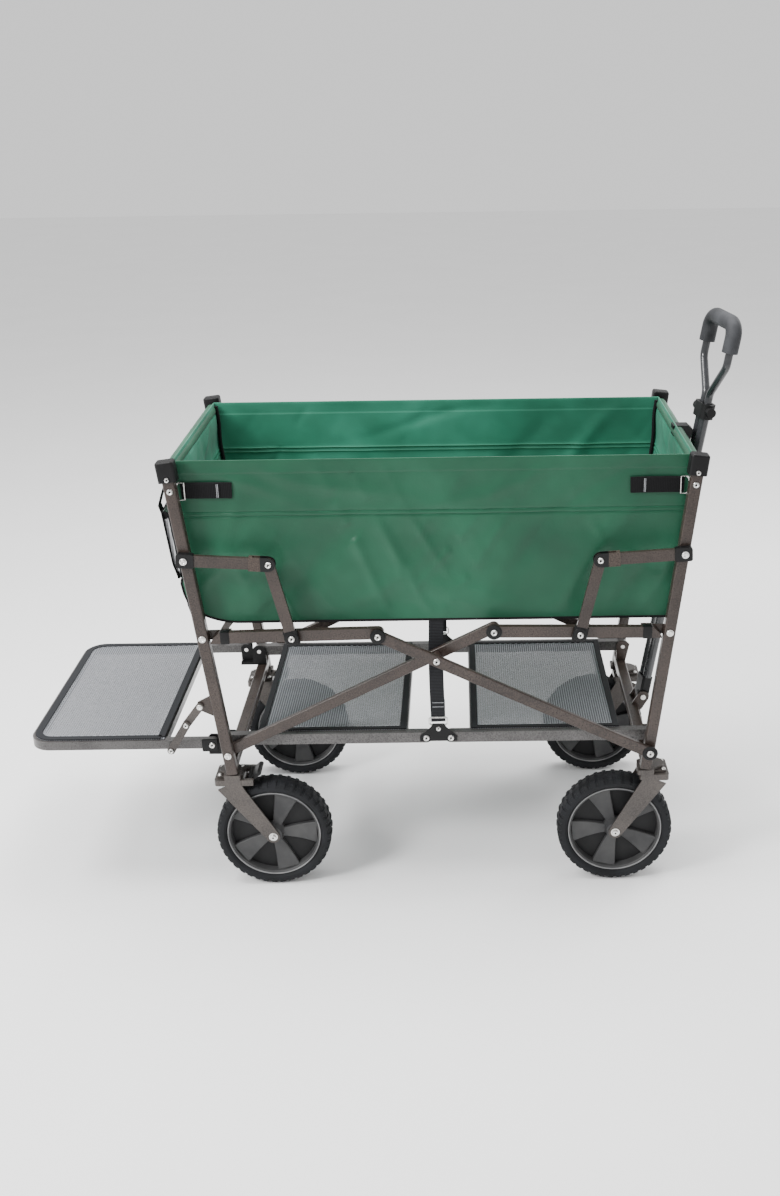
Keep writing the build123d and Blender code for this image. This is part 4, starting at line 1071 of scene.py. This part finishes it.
# ------------------------------------------------------------------ wheels
def wheel(end, hand, xc, yc, phase):
    body = f"wheel_{end}_{hand}"
    R = 0.104
    c = Vector((xc, yc, 0.104))
    # tyre with staggered tread blocks
    prof = [(0.0852, -0.0185, 0), (0.0875, -0.0218, 0), (0.0905, -0.0238, 0), (0.0945, -0.0240, 0), (0.0965, -0.0236, 0),
            (0.0975, -0.0232, 1), (0.1010, -0.0212, 1), (0.1030, -0.0170, 1), (0.1035, -0.0165, 3), (0.1040, -0.0060, 3), (0.1040, -0.0052, 4),
            (0.1040, 0.0052, 4), (0.1040, 0.0060, 3), (0.1035, 0.0165, 3), (0.1030, 0.0170, 2), (0.1010, 0.0212, 2), (0.0975, 0.0232, 2),
            (0.0965, 0.0236, 0), (0.0945, 0.0240, 0), (0.0905, 0.0238, 0), (0.0875, 0.0218, 0), (0.0852, 0.0185, 0)]
    N = 40
    rows = []
    angs = []
    for k in range(N):
        for f, st in ((0.0, 0), (0.06, 1), (0.60, 1), (0.66, 0)):
            angs.append((2 * pi * (k + f) / N, st))
    for a, st in angs:
        row = []
        for r, h, kind in prof:
            if kind in (1, 2, 3, 4):
                # blocks of the far shoulder are shifted half a pitch
                on = st
                if kind == 2:
                    on = 1 - st
                if kind == 4:
                    on = 0
                cut = 0.0 if on else (0.0020 if kind != 4 else 0.0014)
                if kind == 3:
                    cut = 0.0 if ((st and h < 0) or (not st and h > 0)) else 0.0018
                rr = r - cut
            else:
                rr = r
            row.append((c.x + rr * sin(a), c.y + h, c.z + rr * cos(a)))
        rows.append(row)
    m = Mesh()
    m.grid(rows, closed_u=True, closed_v=True)
    o = m.make(f"tyre_tread_{end}_{hand}", "tyre", body, slot="tyre_rubber", angle=28)
    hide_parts(f"tyre_{end}_{hand}")
    # rim: barrel, recessed dark back disc, five wedge spokes, hub, bright edge
    m = Mesh()
    ax = (0, 1, 0)
    barrel = [(0.0848, -0.0185), (0.0848, 0.0185), (0.0810, 0.0190), (0.0790, 0.0170), (0.0780, 0.010), (0.0780, -0.010), (0.0790, -0.0170), (0.0810, -0.0190)]
    m.ring(c, ax, barrel, 72)
    hub = [(0.0052, -0.0262), (0.0120, -0.0262), (0.0150, -0.0240), (0.0160, -0.0160), (0.0200, -0.0100), (0.0200, 0.0100), (0.0160, 0.0160), (0.0150, 0.0240), (0.0120, 0.0262), (0.0052, 0.0262)]
    m.ring(c, ax, hub, 40)
    for k in range(5):
        t = phase + 2 * pi * k / 5
        half0, half1 = 0.0065, radians(15.5)
        for sgn in (-1, 1):
            pass
        # a wedge that widens to the rim, dished from hub to rim
        rows = []
        for i in range(9):
            s = i / 8
            r = 0.014 + (0.0795 - 0.014) * s
            hw = 0.0070 + (0.0795 * sin(half1) - 0.0070) * s
            zface = 0.0135 - 0.0060 * sin(pi * min(1, s * 1.0)) * 0.6
            e = 0.0012
            d = Vector((sin(t), 0, cos(t)))
            q = Vector((cos(t), 0, -sin(t)))
            ringp = [(-hw, -zface + e), (-hw + e, -zface), (hw - e, -zface), (hw, -zface + e), (hw, zface - e), (hw - e, zface), (-hw + e, zface), (-hw, zface - e)]
            rows.append([c + d * math.sqrt(max(r * r - a_ * a_, 1e-8)) * 1.0 + q * a_ + Vector((0, b_, 0)) for a_, b_ in ringp])
        m.grid(rows, closed_v=True, caps=True)
    o = m.make(f"wheel_rim_{end}_{hand}", "charcoal", body, slot="rim_plastic", angle=32)
    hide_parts(f"rim_{end}_{hand}")
    m = Mesh()
    m.ring(c, ax, [(0.0781, -0.0030), (0.0781, 0.0030), (0.0190, 0.0030), (0.0190, -0.0030)], 60)
    m.make(f"wheel_disc_{end}_{hand}", "rimdark", body, slot="rim_plastic")
    m = Mesh()
    for sg in (-1, 1):
        m.ring(c, ax, [(0.0848, sg * 0.0188), (0.0842, sg * 0.0204), (0.0830, sg * 0.0206), (0.0822, sg * 0.0188)], 80)
    m.make(f"wheel_rim_edge_{end}_{hand}", "rimedge", body, slot="rim_plastic")


for side, end, ax_ in ((-1, "rear", 0.302), (1, "front", 0.316)):
    for ys, hand in ((-1, "near"), (1, "far")):
        ph = {("rear", -1): 19, ("front", -1): 49, ("rear", 1): 30, ("front", 1): 15}[(end, ys)]
        wheel(end, hand, X0 + side * ax_, ys * 0.207, radians(ph))
        m = Mesh()
        for sg in (-1, 1):
            cy = ys * 0.207 + sg * 0.0306
            prof = [(0.0, 0.0026), (0.0016, 0.0026), (0.0020, 0.0042), (0.0040, 0.0044), (0.0054, 0.0034), (0.0060, 0.0014), (0.0060, 0.0004), (0.0078, 0.0003), (0.0080, -0.0004)]
            m.lathe((X0 + side * ax_, cy, 0.104), (0, sg, 0), prof, 24)
        m.make(f"axle_caps_{end}_{hand}", "steel", f"caster_{end}_{hand}", slot="rivet_steel")
        m = Mesh()
        k_ = 0.374 if side < 0 else 0.383
        for sx in (-1, 1):
            for sg in (-1, 1):
                m.lathe((X0 + side * k_ + sx * 0.017, ys * 0.207 + sg * 0.016, 0.2249), (0, 0, 1), [(0, 0.0024), (0.003, 0.0022), (0.0042, 0.0008), (0.0043, -0.0003)], 14)
        m.make(f"socket_rivets_{end}_{hand}", "steel", f"{end}_frame", slot="rivet_steel")

# tailgate hinge covers and bolts
m = Mesh()
for ys in (-1, 1):
    fr = side_frame((X0 - 0.4006, 0.284), (X0 - 0.30, 0.284))
    y0, y1 = sorted((ys * 0.2190, ys * 0.2225))
    m.box((-0.018, y0, -0.0125), (0.010, y1, 0.0115), 0.003, fr)
m.make("tailgate_hinge_covers", "black", "tailgate", slot="black_plastic")
rivet_set("tailgate_hinge_rivets", "tailgate", [(X0 - 0.4006, 0.284, 0.2226, 0.0056), (X0 - 0.4714, 0.2794, 0.2340, 0.0048)])
rivet_set("brace_middle_rivets", "brace_lower", [(X0 - 0.4414, 0.3279, 0.2327, 0.0048)])

# give everything soft that can't follow the fold its own copy of its mesh
for o in SQUASHED:
    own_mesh(o)
